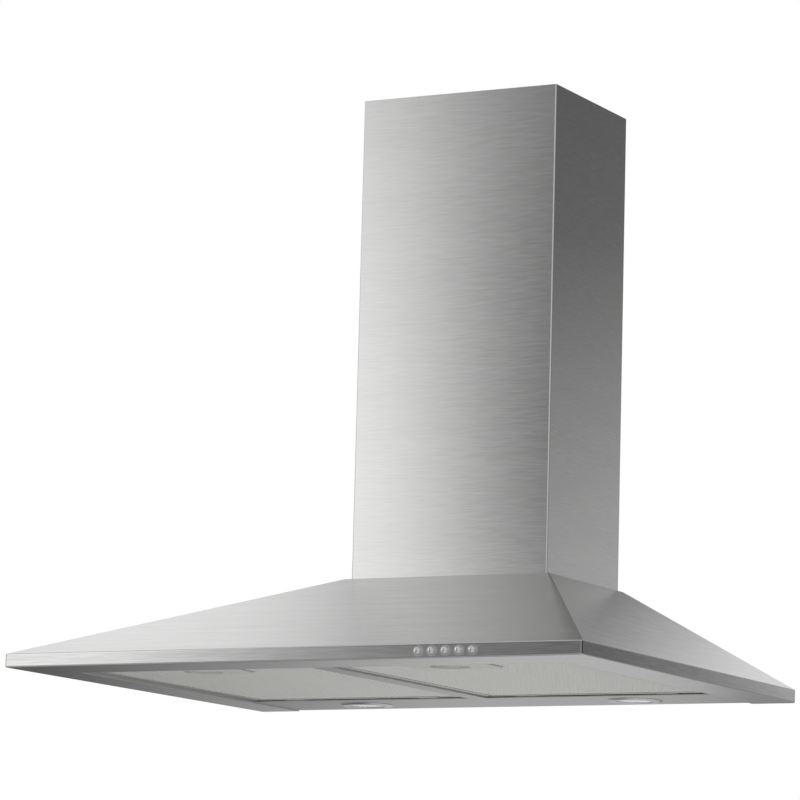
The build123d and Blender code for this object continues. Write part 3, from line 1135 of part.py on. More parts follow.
for side, end in ((-1, "left"), (1, "right")):
    filter_x = side * WINDOW_X
    latch_x = filter_x + LATCH_OFFSET

    # Folded channel frame with two tabs that hang on the panel's rear edge
    with BuildPart() as filter_frame:
        with BuildSketch(Plane.XY.offset(FILTER_Z)):
            with Locations((filter_x, FILTER_Y)):
                Rectangle(FILTER_WIDTH, FILTER_DEPTH)
        extrude(amount=FILTER_THICKNESS)
        with BuildSketch(Plane.XY.offset(FILTER_Z + FILTER_SHEET)):
            with Locations((filter_x, FILTER_Y)):
                Rectangle(FILTER_WIDTH - 2 * FILTER_SHEET, FILTER_DEPTH - 2 * FILTER_SHEET)
        extrude(amount=FILTER_THICKNESS - 2 * FILTER_SHEET, mode=Mode.SUBTRACT)
        with BuildSketch(Plane.XY.offset(FILTER_Z)):
            with Locations((filter_x, FILTER_Y)):
                Rectangle(FILTER_WIDTH - 2 * FILTER_LIP, FILTER_DEPTH - 2 * FILTER_LIP)
        extrude(amount=FILTER_THICKNESS, mode=Mode.SUBTRACT)
        with BuildSketch(Plane.XY.offset(PANEL_TOP + SEAT_GAP)):
            with Locations((filter_x, FILTER_BACK - FILTER_SHEET)):
                with GridLocations(TAB_SPREAD, 0, 2, 1):
                    Rectangle(
                        TAB_WIDTH,
                        FILTER_SHEET + FILTER_GAP + HINGE_BACKSET + TAB_REACH,
                        align=(Align.CENTER, Align.MIN),
                    )
        extrude(amount=FILTER_SHEET + FILTER_RECESS - SEAT_GAP)
        with BuildSketch(Plane.XY.offset(FILTER_Z)):
            with Locations((latch_x, FILTER_FRONT)):
                Rectangle(NOTCH_WIDTH, FILTER_LIP, align=(Align.CENTER, Align.MIN))
        extrude(amount=NOTCH_TOP - FILTER_Z, mode=Mode.SUBTRACT)
    save(filter_frame, f"filter_frame_{end}")

    # Pad of stretched mesh layers, ribbed from front to back, notched for the latch
    with BuildPart() as filter_mesh:
        mesh_width = FILTER_WIDTH - 2 * FILTER_SHEET - 2 * MESH_GAP
        mesh_depth = FILTER_DEPTH - 2 * FILTER_SHEET - 2 * MESH_GAP
        mesh_bottom = FILTER_Z + FILTER_SHEET + MESH_GAP
        mesh_height = FILTER_THICKNESS - 2 * FILTER_SHEET - 2 * MESH_GAP
        rib_count = int((FILTER_WIDTH - 2 * FILTER_LIP) / RIB_PITCH)
        with BuildSketch(Plane.XY.offset(mesh_bottom)):
            with Locations((filter_x, FILTER_Y)):
                Rectangle(mesh_width, mesh_depth)
            with Locations((latch_x, FILTER_FRONT)):
                Rectangle(
                    LATCH_WIDTH + 2 * MESH_GAP,
                    CASE_BACK - FILTER_FRONT + MESH_GAP,
                    align=(Align.CENTER, Align.MIN),
                    mode=Mode.SUBTRACT,
                )
        extrude(amount=mesh_height)
        with BuildSketch(Plane.XZ.offset(-FILTER_Y)):
            with Locations((filter_x, mesh_bottom)):
                with GridLocations(RIB_PITCH, 0, rib_count, 1):
                    Triangle(
                        c=RIB_PITCH - RIB_LAND, A=RIB_ANGLE, B=RIB_ANGLE, align=(Align.CENTER, Align.MIN)
                    )
        extrude(amount=FILTER_DEPTH / 2 - FILTER_LIP, both=True, mode=Mode.SUBTRACT)
    save(filter_mesh, f"filter_mesh_{end}")

    # Latch case behind the front lip, with a round finger hole in its plate
    with BuildPart() as latch_case:
        with BuildSketch(Plane.XY.offset(CASE_BOTTOM)):
            with Locations((latch_x, CASE_FRONT)):
                Rectangle(LATCH_WIDTH, CASE_BACK - CASE_FRONT, align=(Align.CENTER, Align.MIN))
        extrude(amount=CASE_HEIGHT)
        with BuildSketch(Plane.XY.offset(CASE_BOTTOM)):
            with Locations((latch_x, PLATE_FRONT)):
                Rectangle(LATCH_WIDTH, LATCH_DEPTH, align=(Align.CENTER, Align.MIN))
        extrude(amount=CASE_BOTTOM - FILTER_Z + LATCH_PROUD, dir=(0, 0, -1))
        chamfer(faces().sort_by(Axis.Z)[0].edges(), PLATE_CHAMFER)
        with BuildSketch(Plane.XY.offset(CASE_BOTTOM + LATCH_WALL)):
            with Locations((latch_x, CASE_FRONT + LATCH_WALL)):
                Rectangle(
                    LATCH_WIDTH - 2 * LATCH_WALL,
                    CASE_BACK - CASE_FRONT - 2 * LATCH_WALL,
                    align=(Align.CENTER, Align.MIN),
                )
        extrude(amount=CASE_HEIGHT - 2 * LATCH_WALL, mode=Mode.SUBTRACT)
        with BuildSketch(Plane.XY.offset(CASE_BOTTOM + LATCH_WALL)):
            with Locations((latch_x, FINGER_Y)):
                Circle(FINGER_RADIUS)
        extrude(amount=-CASE_HEIGHT, mode=Mode.SUBTRACT)
        with BuildSketch(Plane.XY.offset(FILTER_Z)):
            with Locations((latch_x, CASE_FRONT)):
                Rectangle(NOTCH_WIDTH, FILTER_LIP, align=(Align.CENTER, Align.MIN))
        extrude(amount=NOTCH_TOP - FILTER_Z, mode=Mode.SUBTRACT)
    save(latch_case, f"latch_case_{end}")

    # Slider with its dished finger cup
    with BuildPart() as latch_slider:
        with BuildSketch(Plane.XY.offset(SLIDER_Z + FIT_GAP)):
            with Locations((latch_x, SLIDER_FRONT)):
                Rectangle(SLIDER_WIDTH, SLIDER_DEPTH, align=(Align.CENTER, Align.MIN))
        extrude(amount=SLIDER_THICKNESS)
        with BuildSketch(Plane.XY.offset(SLIDER_Z + FIT_GAP)):
            with Locations((latch_x, SLIDER_Y)):
                Circle(CUP_RADIUS)
        extrude(amount=-CUP_DROP)
        with BuildSketch(Plane.XY.offset(SLIDER_Z + FIT_GAP - CUP_DROP)):
            with Locations((latch_x, SLIDER_Y)):
                Circle(CUP_RADIUS - CUP_WALL)
        extrude(amount=CUP_DISH, taper=CUP_TAPER, mode=Mode.SUBTRACT)
    save(latch_slider, f"latch_slider_{end}")

    # Spring-steel tongue that hooks over the panel's front edge
    with BuildPart() as latch_tongue:
        with BuildSketch(Plane.YZ.offset(latch_x)):
            with BuildLine():
                Polyline(
                    (SLIDER_FRONT, TONGUE_Z),
                    (TONGUE_KNEE, TONGUE_Z),
                    (TONGUE_TIP + TONGUE_TOE, TONGUE_LOW),
                    (TONGUE_TIP, TONGUE_LOW + TONGUE_LIFT),
                    (TONGUE_TIP, TONGUE_LOW + TONGUE_LIFT + TONGUE_SHEET),
                    (TONGUE_TIP + TONGUE_TOE, TONGUE_LOW + TONGUE_SHEET),
                    (TONGUE_KNEE, TONGUE_Z + TONGUE_SHEET),
                    (SLIDER_FRONT, TONGUE_Z + TONGUE_SHEET),
                    close=True,
                )
            make_face()
        extrude(amount=TONGUE_WIDTH / 2, both=True)
    save(latch_tongue, f"latch_tongue_{end}")

    # Return spring between the slider and the case's back wall
    with BuildPart() as latch_spring:
        spring_start = SLIDER_FRONT + SLIDER_DEPTH
        spring_end = CASE_BACK - LATCH_WALL
        with BuildSketch(Plane.XZ.offset(-spring_start)):
            with Locations((latch_x, SLIDER_Z + FIT_GAP + SLIDER_THICKNESS / 2)):
                RegularPolygon(SPRING_RADIUS, SPRING_SIDES)
                RegularPolygon(SPRING_RADIUS - SPRING_WIRE, SPRING_SIDES, mode=Mode.SUBTRACT)
        extrude(amount=spring_start - spring_end)
    save(latch_spring, f"latch_spring_{end}")
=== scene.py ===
import math

import bmesh
import bpy
from mathutils import Matrix, Vector


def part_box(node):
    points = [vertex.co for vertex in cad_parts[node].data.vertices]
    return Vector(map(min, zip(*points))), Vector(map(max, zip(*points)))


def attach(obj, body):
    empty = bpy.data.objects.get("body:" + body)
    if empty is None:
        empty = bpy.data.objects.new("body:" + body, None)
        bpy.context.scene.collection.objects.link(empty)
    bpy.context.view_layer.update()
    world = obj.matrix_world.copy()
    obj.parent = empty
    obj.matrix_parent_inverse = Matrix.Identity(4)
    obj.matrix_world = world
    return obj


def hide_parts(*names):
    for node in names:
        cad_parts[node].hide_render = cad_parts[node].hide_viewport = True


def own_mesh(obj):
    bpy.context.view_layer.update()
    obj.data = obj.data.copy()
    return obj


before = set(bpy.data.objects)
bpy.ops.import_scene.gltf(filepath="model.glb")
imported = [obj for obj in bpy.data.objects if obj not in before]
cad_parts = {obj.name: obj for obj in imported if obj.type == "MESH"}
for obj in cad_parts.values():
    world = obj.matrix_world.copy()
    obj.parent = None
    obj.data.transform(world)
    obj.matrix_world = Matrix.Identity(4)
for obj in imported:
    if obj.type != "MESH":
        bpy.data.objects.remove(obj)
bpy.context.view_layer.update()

# Camera: stands low, in front of the hood and to its right, far off with a long lens, and
# looks slightly up at the canopy, so that the underside shows as a thin band.
scene = bpy.context.scene


def stand(name, data):
    """A new object in the scene."""
    made = bpy.data.objects.new(name, data)
    scene.collection.objects.link(made)
    return made


CAMERA_PLACE = (1.8563, -3.8648, -0.3549)
CAMERA_YAW = 27.39
CAMERA_PITCH = 8.86
CAMERA_ROLL = 1.48
LENS_MM, SENSOR_MM = 189.95, 36
SIGHT_LIMIT = 50
camera_data = bpy.data.cameras.new("camera")
camera_data.sensor_width = SENSOR_MM
camera_data.lens = LENS_MM
camera_data.clip_end = SIGHT_LIMIT
camera = stand("camera", camera_data)
camera.matrix_world = (
    Matrix.Translation(CAMERA_PLACE)
    @ Matrix.Rotation(math.radians(CAMERA_YAW), 4, "Z")
    @ Matrix.Rotation(math.radians(90 + CAMERA_PITCH), 4, "X")
    @ Matrix.Rotation(math.radians(CAMERA_ROLL), 4, "Z")
)
scene.camera = camera
scene.view_settings.view_transform = "Standard"


# Studio: a pale floor under the hood that fades to white, an even white sky, three soft lamps,
# and a round tent of soft light panels that only glossy surfaces see. The tent gives brushed
# steel its bands.
def node(tree, kind, inputs=(), out=0, **settings):
    """Adds one shader node; a value that is a socket is linked, any other is set."""
    made = tree.nodes.new("ShaderNode" + kind)
    for key, value in settings.items():
        setattr(made, key, value)
    for key, value in dict(inputs).items():
        if isinstance(value, bpy.types.NodeSocket):
            tree.links.new(value, made.inputs[key])
        else:
            made.inputs[key].default_value = value
    return made.outputs[out]


def sums(tree, operation, *values, kind="Math", out=0):
    """The result of one operation on values or vectors."""
    return node(tree, kind, dict(enumerate(values)), out, operation=operation)


def grey_ramp(tree, position, stops):
    """Grey levels along a position from 0 to 1."""
    made = tree.nodes.new("ShaderNodeValToRGB")
    tree.links.new(position, made.inputs[0])
    marks = made.color_ramp.elements
    for _ in stops[2:]:
        marks.new(0.5)
    for mark, (share, grey) in zip(marks, stops):
        mark.position = share
        mark.color = (grey, grey, grey, 1)
    return made.outputs[0]


WHITE = (1, 1, 1, 1)
SKY_FOR_MATT = 0.80
world = bpy.data.worlds.new("sky")
scene.world = world
world.use_nodes = True
sky = world.node_tree
rays = sky.nodes.new("ShaderNodeLightPath").outputs
seen = sums(sky, "MAXIMUM", rays["Is Camera Ray"], rays["Is Glossy Ray"])
seen = sums(sky, "MAXIMUM", seen, rays["Is Transmission Ray"])
strength = node(sky, "MapRange", {0: seen, 3: SKY_FOR_MATT, 4: 1.0})
sky.links.new(strength, sky.nodes["Background"].inputs["Strength"])
sky.nodes["Background"].inputs["Color"].default_value = WHITE

FLOOR_HALF = 6.0
FLOOR_Z = -1.15
FLOOR_GREY = (0.86, 0.86, 0.86, 1)
FLOOR_ROUGHNESS = 0.85
FADE_FROM, FADE_TO = 1.8, 4.6
floor_mesh = bpy.data.meshes.new("floor")
floor_mesh.from_pydata(
    [(x * FLOOR_HALF, y * FLOOR_HALF, FLOOR_Z) for x, y in ((-1, -1), (1, -1), (1, 1), (-1, 1))],
    [],
    [(0, 1, 2, 3)],
)
floor = stand("floor", floor_mesh)
floor_paint = bpy.data.materials.new("floor_paint")
floor_paint.use_nodes = True
paint = floor_paint.node_tree
plain = paint.nodes["Principled BSDF"]
plain.inputs["Roughness"].default_value = FLOOR_ROUGHNESS
plain.inputs["Base Color"].default_value = FLOOR_GREY
spot = node(paint, "TexCoord", out="Object")
from_middle = sums(paint, "LENGTH", spot, kind="VectorMath", out="Value")
far = node(paint, "MapRange", {0: from_middle, 1: FADE_FROM, 2: FADE_TO}, clamp=True)
rays = paint.nodes.new("ShaderNodeLightPath").outputs
seen = sums(paint, "MAXIMUM", rays["Is Camera Ray"], rays["Is Glossy Ray"])
far = sums(paint, "MULTIPLY", far, seen)
white = node(paint, "Emission", {"Color": WHITE, "Strength": 1.0})
faded = node(paint, "MixShader", {0: far, 1: plain.outputs[0], 2: white})
under = node(paint, "NewGeometry", out="Backfacing")
clear = node(paint, "BsdfTransparent")
one_way = node(paint, "MixShader", {0: under, 1: faded, 2: clear})
paint.links.new(one_way, paint.nodes["Material Output"].inputs["Surface"])
floor_mesh.materials.append(floor_paint)

TENT_CENTRE_Y = -0.25
TENT_RADIUS = 1.2
TENT_LOW, TENT_HIGH = -1.10, 2.20
TENT_SIDES = 96
TENT_GAIN = 1.42
# Light levels by height in metres, and there by direction in degrees from the front, with the
# right side positive
TENT_BANDS = {
    -1.05: (
        (-180, 0.42), (-165, 0.42), (-153, 0.24), (-145, 0.11), (-138, 0.08), (-120, 0.12),
        (-60, 0.32), (60, 0.34), (180, 0.42),
    ),
    -0.55: (
        (-180, 0.42), (-165, 0.44), (-153, 0.29), (-145, 0.15), (-138, 0.11), (-120, 0.12),
        (-100, 0.30), (-60, 0.32), (-30, 0.13), (-20, 0.13), (5, 0.32), (45, 0.42),
        (100, 0.42), (125, 0.12), (180, 0.34),
    ),
    -0.12: (
        (-180, 0.08), (-173, 0.08), (-170.5, 0.28), (-168, 0.38), (-157, 0.50), (-150, 0.44),
        (-146, 0.35), (-142, 0.27), (-139, 0.22), (-135, 0.13), (-131, 0.04), (-120, 0.04),
        (-105, 0.30), (-45, 0.55), (-30, 0.30), (-12, 0.05), (4, 0.28), (45, 0.38),
        (100, 0.38), (122, 0.04), (140, 0.20), (180, 0.16),
    ),
    0.06: (
        (-180, 0.16), (-150, 0.16), (-120, 0.42), (-60, 0.46), (-39, 0.84), (-34, 0.80),
        (-30, 0.70), (-27, 0.65), (-25.6, 0.60), (-23.4, 0.53), (-21, 0.46), (-17.5, 0.32),
        (-13, 0.27), (-10, 0.23), (-8.5, 0.12), (-7, 0.04), (-4, 0.08), (3, 0.34),
        (60, 0.34), (95, 0.30), (115, 0.01), (136, 0.01), (138, 0.03), (141, 0.12),
        (145, 0.19), (148.5, 0.36), (155, 0.42), (165, 0.32), (180, 0.16),
    ),
    0.28: (
        (-180, 0.66), (-178, 0.58), (-175.5, 0.40), (-173, 0.28), (-171, 0.18), (-169, 0.07),
        (-157, 0.04), (-150, 0.30), (-140, 0.64), (-128, 0.64), (-110, 0.45), (-60, 0.46),
        (-44, 0.84), (-36, 0.98), (-33, 0.92), (-31.5, 0.78), (-30, 0.65), (-27.7, 0.45),
        (-25.4, 0.23), (-24, 0.15), (-22.8, 0.10), (-15, 0.05), (-10, 0.10), (3, 0.42),
        (60, 0.45), (90, 0.45), (110, 0.10), (135, 0.20), (150, 0.28), (157, 0.32),
        (170, 0.52), (180, 0.66),
    ),
    0.66: (
        (-180, 0.46), (-175, 0.24), (-170, 0.09), (-160, 0.0), (-156.5, 0.03),
        (-153.5, 0.14), (-151, 0.26), (-148.5, 0.41), (-144.5, 0.62), (-141, 0.74),
        (-136, 0.80), (-128, 0.80), (-110, 0.46), (-60, 0.46), (-44, 0.80), (-36, 0.88),
        (-33.5, 0.78), (-32, 0.66), (-29.2, 0.48), (-28, 0.39), (-26.8, 0.30),
        (-25.5, 0.21), (-23, 0.11), (-15, 0.05), (-10, 0.10), (3, 0.42), (60, 0.45),
        (90, 0.40), (110, 0.08), (158, 0.10), (170, 0.34), (180, 0.46),
    ),
    1.30: (
        (-180, 0.02), (-150, 0.02), (-138, 0.10), (-125, 0.40), (-60, 0.62), (-20, 0.20),
        (5, 0.38), (60, 0.38), (110, 0.20), (140, 0.12), (180, 0.02),
    ),
    2.12: ((-180, 0.26), (180, 0.26)),
    2.19: ((-180, 0.48), (180, 0.48)),
}
tent_mesh = bpy.data.meshes.new("light_tent")
tent_turns = [2 * math.pi * k / TENT_SIDES for k in range(TENT_SIDES)]
tent_mesh.from_pydata(
    [
        (TENT_RADIUS * math.sin(turn), TENT_CENTRE_Y - TENT_RADIUS * math.cos(turn), z)
        for z in (TENT_LOW, TENT_HIGH)
        for turn in tent_turns
    ],
    [],
    [
        (k, (k + 1) % TENT_SIDES, TENT_SIDES + (k + 1) % TENT_SIDES, TENT_SIDES + k)
        for k in range(TENT_SIDES)
    ]
    + [tuple(range(TENT_SIDES)), tuple(range(TENT_SIDES, 2 * TENT_SIDES))],
)
light_tent = stand("light_tent", tent_mesh)
panels = bpy.data.materials.new("light_panels")
panels.use_nodes = True
glow = panels.node_tree
spot = node(glow, "TexCoord", out="Object")
place = node(glow, "SeparateXYZ", {0: spot}).node.outputs
ahead = sums(glow, "SUBTRACT", TENT_CENTRE_Y, place["Y"])
bearing = sums(glow, "ARCTAN2", place["X"], ahead)
bearing = node(glow, "MapRange", {0: bearing, 1: -math.pi, 2: math.pi, 3: 0.0, 4: 1.0})
levels = None
for height, bands in TENT_BANDS.items():
    zone = grey_ramp(glow, bearing, [((angle + 180) / 360, light) for angle, light in bands])
    if levels is not None:
        rise = node(glow, "MapRange", {0: place["Z"], 1: reached, 2: height, 3: 0.0, 4: 1.0})
        zone = node(glow, "Mix", {0: rise, 6: levels, 7: zone}, out=2, data_type="RGBA")
    levels, reached = zone, height
shine = node(glow, "Emission", {"Color": levels, "Strength": TENT_GAIN})
glow.links.new(shine, glow.nodes["Material Output"].inputs["Surface"])
glow.nodes.remove(glow.nodes["Principled BSDF"])
tent_mesh.materials.append(panels)
for ray in ("camera", "diffuse", "transmission", "volume_scatter", "shadow"):
    setattr(light_tent, "visible_" + ray, False)

LAMP_AIM = Vector((0, -0.2, 0.2))
for name, where, size, watts in (
    ("key_lamp", (-2.2, -3.0, 2.6), 2.2, 95),
    ("fill_lamp", (2.8, -2.6, 1.2), 2.0, 40),
    ("low_lamp", (0.2, -2.6, -0.9), 1.6, 22),
):
    lamp = bpy.data.lights.new(name, "AREA")
    lamp.shape = "DISK"
    lamp.size = size
    lamp.energy = watts
    holder = stand(name, lamp)
    holder.location = where
    holder.rotation_euler = (LAMP_AIM - Vector(where)).to_track_quat("-Z", "Y").to_euler()
    holder.visible_glossy = False
    holder.visible_camera = False


# Canopy: one sheet of 1 mm stainless steel, pressed to a low pyramid with a vertical rim and an
# inward flange. Satin brushed from side to side, so that light spreads up and down the sheet.
def finish(name, colour, metallic, roughness, **constants):
    """A material whose shader has these values; returns it with its tree and shader."""
    material = bpy.data.materials.new(name)
    material.use_nodes = True
    tree = material.node_tree
    shader = tree.nodes["Principled BSDF"]
    shader.inputs["Base Color"].default_value = (*colour, 1)
    shader.inputs["Metallic"].default_value = metallic
    shader.inputs["Roughness"].default_value = roughness
    for socket, value in constants.items():
        shader.inputs[socket.replace("_", " ")].default_value = value
    return material, tree, shader


def varied(tree, shader, socket, low, high, amount, base=None):
    """Drives a socket between two values, or two shades of a colour, by an amount from 0 to 1."""
    if base is None:
        value = node(tree, "MapRange", {0: amount, 3: low, 4: high})
    else:
        shades = [tuple(channel * share for channel in base) + (1,) for share in (low, high)]
        value = node(
            tree, "Mix", {0: amount, 6: shades[0], 7: shades[1]}, out=2, data_type="RGBA"
        )
    tree.links.new(value, shader.inputs[socket])


def noise(tree, scale, detail):
    """Even noise through the solid."""
    spot = node(tree, "TexCoord", out="Object")
    return node(tree, "TexNoise", {"Vector": spot, "Scale": scale, "Detail": detail})


GRAIN_UP = (0.0, 0.02, 1.0)
FACE_SHIFT = (3.1, 5.3, 7.7)        # sets the grain of one face apart from the next
# Lanes of grain: length and width in metres, and how finely the noise in them breaks up
FINE_LANES = ((0.020, 0.0011, 0.0), (0.034, 0.0007, 1.0), (0.25, 0.03, 1.0))
LONG_LANES = ((0.024, 0.0011, 0.0), (0.060, 0.0024, 1.0), (0.18, 0.009, 1.0))
LANE_ROUGHNESS = 0.012
SCRATCH_DEPTH, SCRATCH_STRENGTH = 0.00003, 0.05
SWELL_SCALE = 5.0


def brushed_steel(name, colour, roughness, spread, wave=0.00008, lanes=FINE_LANES, contrast=0.04):
    """Brushed sheet: grain level on upright and sloping faces, and from side to side below."""
    material, tree, shader = finish(name, colour, 1.0, roughness, Anisotropic=spread)
    spot = node(tree, "TexCoord", out="Object")
    facing = node(
        tree,
        "VectorTransform",
        {0: node(tree, "NewGeometry", out="True Normal")},
        vector_type="NORMAL",
        convert_from="WORLD",
        convert_to="OBJECT",
    )
    up = node(tree, "CombineXYZ", dict(enumerate(GRAIN_UP)))
    along = sums(tree, "CROSS_PRODUCT", up, facing, kind="VectorMath")
    along = sums(tree, "NORMALIZE", along, kind="VectorMath")
    across = sums(tree, "CROSS_PRODUCT", facing, along, kind="VectorMath")
    u, v, side = [
        sums(tree, "DOT_PRODUCT", *pair, kind="VectorMath", out="Value")
        for pair in ((spot, along), (spot, across), (facing, FACE_SHIFT))
    ]
    grain = []
    for length, width, detail in lanes:
        lane = node(
            tree,
            "CombineXYZ",
            {
                0: sums(tree, "MULTIPLY", u, 1 / length),
                1: sums(tree, "MULTIPLY", v, 1 / width),
                2: side,
            },
        )
        grain.append(node(tree, "TexNoise", {"Vector": lane, "Scale": 1.0, "Detail": detail}))
    streak = node(tree, "MapRange", {0: grain[0], 1: 0.22, 2: 0.78}, clamp=True)
    mixed = sums(tree, "ADD", streak, grain[1])
    mixed = node(tree, "MapRange", {0: mixed, 1: 0.5, 2: 1.5})
    patch = sums(tree, "ADD", mixed, grain[2])
    patch = node(tree, "MapRange", {0: patch, 1: 0.5, 2: 1.5})
    varied(tree, shader, "Roughness", roughness - LANE_ROUGHNESS, roughness + LANE_ROUGHNESS, mixed)
    varied(tree, shader, "Base Color", 1 - contrast, 1 + contrast, patch, colour)
    swell = noise(tree, SWELL_SCALE, 1.0)
    scratches = {"Height": streak, "Distance": SCRATCH_DEPTH, "Strength": SCRATCH_STRENGTH}
    fine = node(tree, "Bump", scratches)
    soft = node(tree, "Bump", {"Height": swell, "Distance": wave, "Strength": 1.0, "Normal": fine})
    tree.links.new(soft, shader.inputs["Normal"])
    tree.links.new(up, shader.inputs["Tangent"])
    return material


def dress(material, *names):
    """Gives CAD nodes their finish."""
    for name in names:
        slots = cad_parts[name].data.materials
        slots.clear()
        slots.append(material)


STEEL = (0.70, 0.70, 0.695)
canopy_steel = brushed_steel("canopy_steel", STEEL, 0.22, 0.80, lanes=LONG_LANES, contrast=0.08)
dress(canopy_steel, "canopy_shell")


# Rim corners: the rim's front and side strips are folded from the same sheet and meet edge to
# edge, with a hairline joint down each front corner. The joint's dark line is painted shadow: a
# thin near-black strip set into each corner stands in for the shade in the gap.
def mesh_of(builder):
    """Turns a finished bmesh into a mesh."""
    bmesh.ops.recalc_face_normals(builder, faces=builder.faces)
    mesh = bpy.data.meshes.new("mesh")
    builder.to_mesh(mesh)
    builder.free()
    return mesh


def piece(name, shape, body, material, slot, *replaced, crease=35):
    """One finished piece: what it rides on, its finish, and the CAD nodes it stands for."""
    mesh = mesh_of(shape) if isinstance(shape, bmesh.types.BMesh) else shape
    mesh.name = name
    mesh.materials.clear()
    mesh.materials.append(material)
    mesh.polygons.foreach_set("use_smooth", [True] * len(mesh.polygons))
    mesh.set_sharp_from_angle(angle=math.radians(crease))
    made = stand(name, mesh)
    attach(made, body)
    if replaced:
        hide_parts(*replaced)
    return made


def skin(builder, loops):
    """Joins loops of corners into one closed skin, with both ends capped."""
    for first, second in zip(loops, loops[1:]):
        for k in range(len(first)):
            after = (k + 1) % len(first)
            builder.faces.new((first[k], first[after], second[after], second[k]))
    builder.faces.new(loops[0])
    builder.faces.new(loops[-1])


shell_low, shell_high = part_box("canopy_shell")
# Painted shadow: a near-black finish for thin strips that stand in for the shade in hairline joints
painted_joint_shadow, tree, shader = finish("joint_shadow", (0.03, 0.03, 0.03), 0.4, 0.7)
varied(tree, shader, "Roughness", 0.6, 0.8, node(tree, "TexNoise", {"Scale": 900.0}))
FOLD_RADIUS = 0.0016
RIM_TOP = 0.013
JOINT_LOW, JOINT_HIGH = 0.0010, RIM_TOP - 0.0006
JOINT_PROUD, JOINT_SUNK = 0.00003, 0.0002
JOINT_SPREAD, JOINT_STEP = 26, 13   # degrees to each side of the corner
seam = bmesh.new()
for side in (-1, 1):
    axis = Vector((side * (shell_high.x - FOLD_RADIUS), shell_low.y + FOLD_RADIUS, 0))
    loops = []
    for turn in range(-JOINT_SPREAD, JOINT_SPREAD + 1, JOINT_STEP):
        across = math.radians(45 + turn)
        out = Vector((side * math.sin(across), -math.cos(across), 0))
        loops.append(
            [
                seam.verts.new(axis + out * (FOLD_RADIUS + proud) + Vector((0, 0, z)))
                for proud, z in (
                    (-JOINT_SUNK, JOINT_LOW),
                    (JOINT_PROUD, JOINT_LOW),
                    (JOINT_PROUD, JOINT_HIGH),
                    (-JOINT_SUNK, JOINT_HIGH),
                )
            ]
        )
    skin(seam, loops)
piece("rim_corner_joint_shadows", seam, "hood", painted_joint_shadow, "canopy_steel")


# Canopy back and wall hooks: zinc-coated steel with its crystal pattern. The back plate has
# windows for the two hooks that are screwed to the wall.
def dented(tree, shader, height, distance):
    """A bump of that depth in metres."""
    bump = node(tree, "Bump", {"Height": height, "Distance": distance, "Strength": 1.0})
    tree.links.new(bump, shader.inputs["Normal"])


def galvanised(name, colour, crystal=160.0):
    """Zinc-coated sheet with its faint crystals."""
    material, tree, shader = finish(name, colour, 0.9, 0.42)
    spot = node(tree, "TexCoord", out="Object")
    cells = node(tree, "TexVoronoi", {"Vector": spot, "Scale": crystal}, out="Color")
    cells = node(tree, "SeparateXYZ", {0: cells})
    amount = sums(tree, "ADD", cells, noise(tree, 40.0, 4.0))
    amount = node(tree, "MapRange", {0: amount, 1: 0.3, 2: 1.7})
    varied(tree, shader, "Base Color", 0.82, 1.14, amount, colour)
    varied(tree, shader, "Roughness", 0.34, 0.54, amount)
    dented(tree, shader, cells, 0.00002)
    return material


zinc_sheet = galvanised("galvanised_steel", (0.56, 0.575, 0.585))
dress(zinc_sheet, "canopy_back", "wall_hook_left", "wall_hook_right")


# Underside panel: brushed steel tray lying on the canopy's flange, with the two filter windows,
# the bar between them and the rear strip with the lamps. The sheet is folded up along the
# windows' sides.
def block(builder, low, high, bevel=0.0):
    """A box between two corners, with its edges bevelled."""
    corners = [
        builder.verts.new((x, y, z))
        for z in (low[2], high[2])
        for y in (low[1], high[1])
        for x in (low[0], high[0])
    ]
    sides = ((0, 2, 3, 1), (4, 5, 7, 6), (0, 1, 5, 4), (2, 6, 7, 3), (0, 4, 6, 2), (1, 3, 7, 5))
    faces = [builder.faces.new([corners[k] for k in side]) for side in sides]
    if bevel:
        edges = list({edge for face in faces for edge in face.edges})
        bmesh.ops.bevel(builder, geom=edges, offset=bevel, segments=2, profile=0.5, affect="EDGES")


panel_steel = brushed_steel("panel_steel", (0.57, 0.57, 0.565), 0.30, 0.55, wave=0.00005)
dress(panel_steel, "underside_panel")
EDGE_SHEET = 0.0010
EDGE_LOW, EDGE_HEIGHT = 0.0020, 0.0075
EDGE_AHEAD = 0.0012
WINDOW_OUTER, WINDOW_INNER = 0.251, 0.010
edges = bmesh.new()
for end, side in (("left", -1), ("right", 1)):
    frame_low, frame_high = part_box("filter_frame_" + end)
    for outer, inward in ((side * WINDOW_OUTER, -side), (side * WINDOW_INNER, side)):
        inner = outer + inward * EDGE_SHEET
        block(
            edges,
            (min(outer, inner), frame_low.y - EDGE_AHEAD, EDGE_LOW),
            (max(outer, inner), frame_high.y, EDGE_LOW + EDGE_HEIGHT),
        )
piece("window_edges", edges, "hood", panel_steel, "panel_steel")

# Chimney: outer cover and inner section, both folded from 0.8 mm brushed steel with the grain
# across the width. The inner one slides up, held by its bracket's two screws.
chimney_steel = brushed_steel("chimney_steel", STEEL, 0.23, 0.72)
dress(chimney_steel, "chimney_cover", "chimney_upper")
dress(zinc_sheet, "chimney_wall_bracket")


# Screws: bright zinc-plated hexagon heads with a cross recess, pressed, with rolled threads.
# These are the chimney bracket's; the other sections' screws are made alike.
def aimed(place, direction):
    """Moves the origin to a place and turns the z axis to a direction."""
    return Matrix.Translation(place) @ Vector(direction).to_track_quat("Z", "Y").to_matrix().to_4x4()


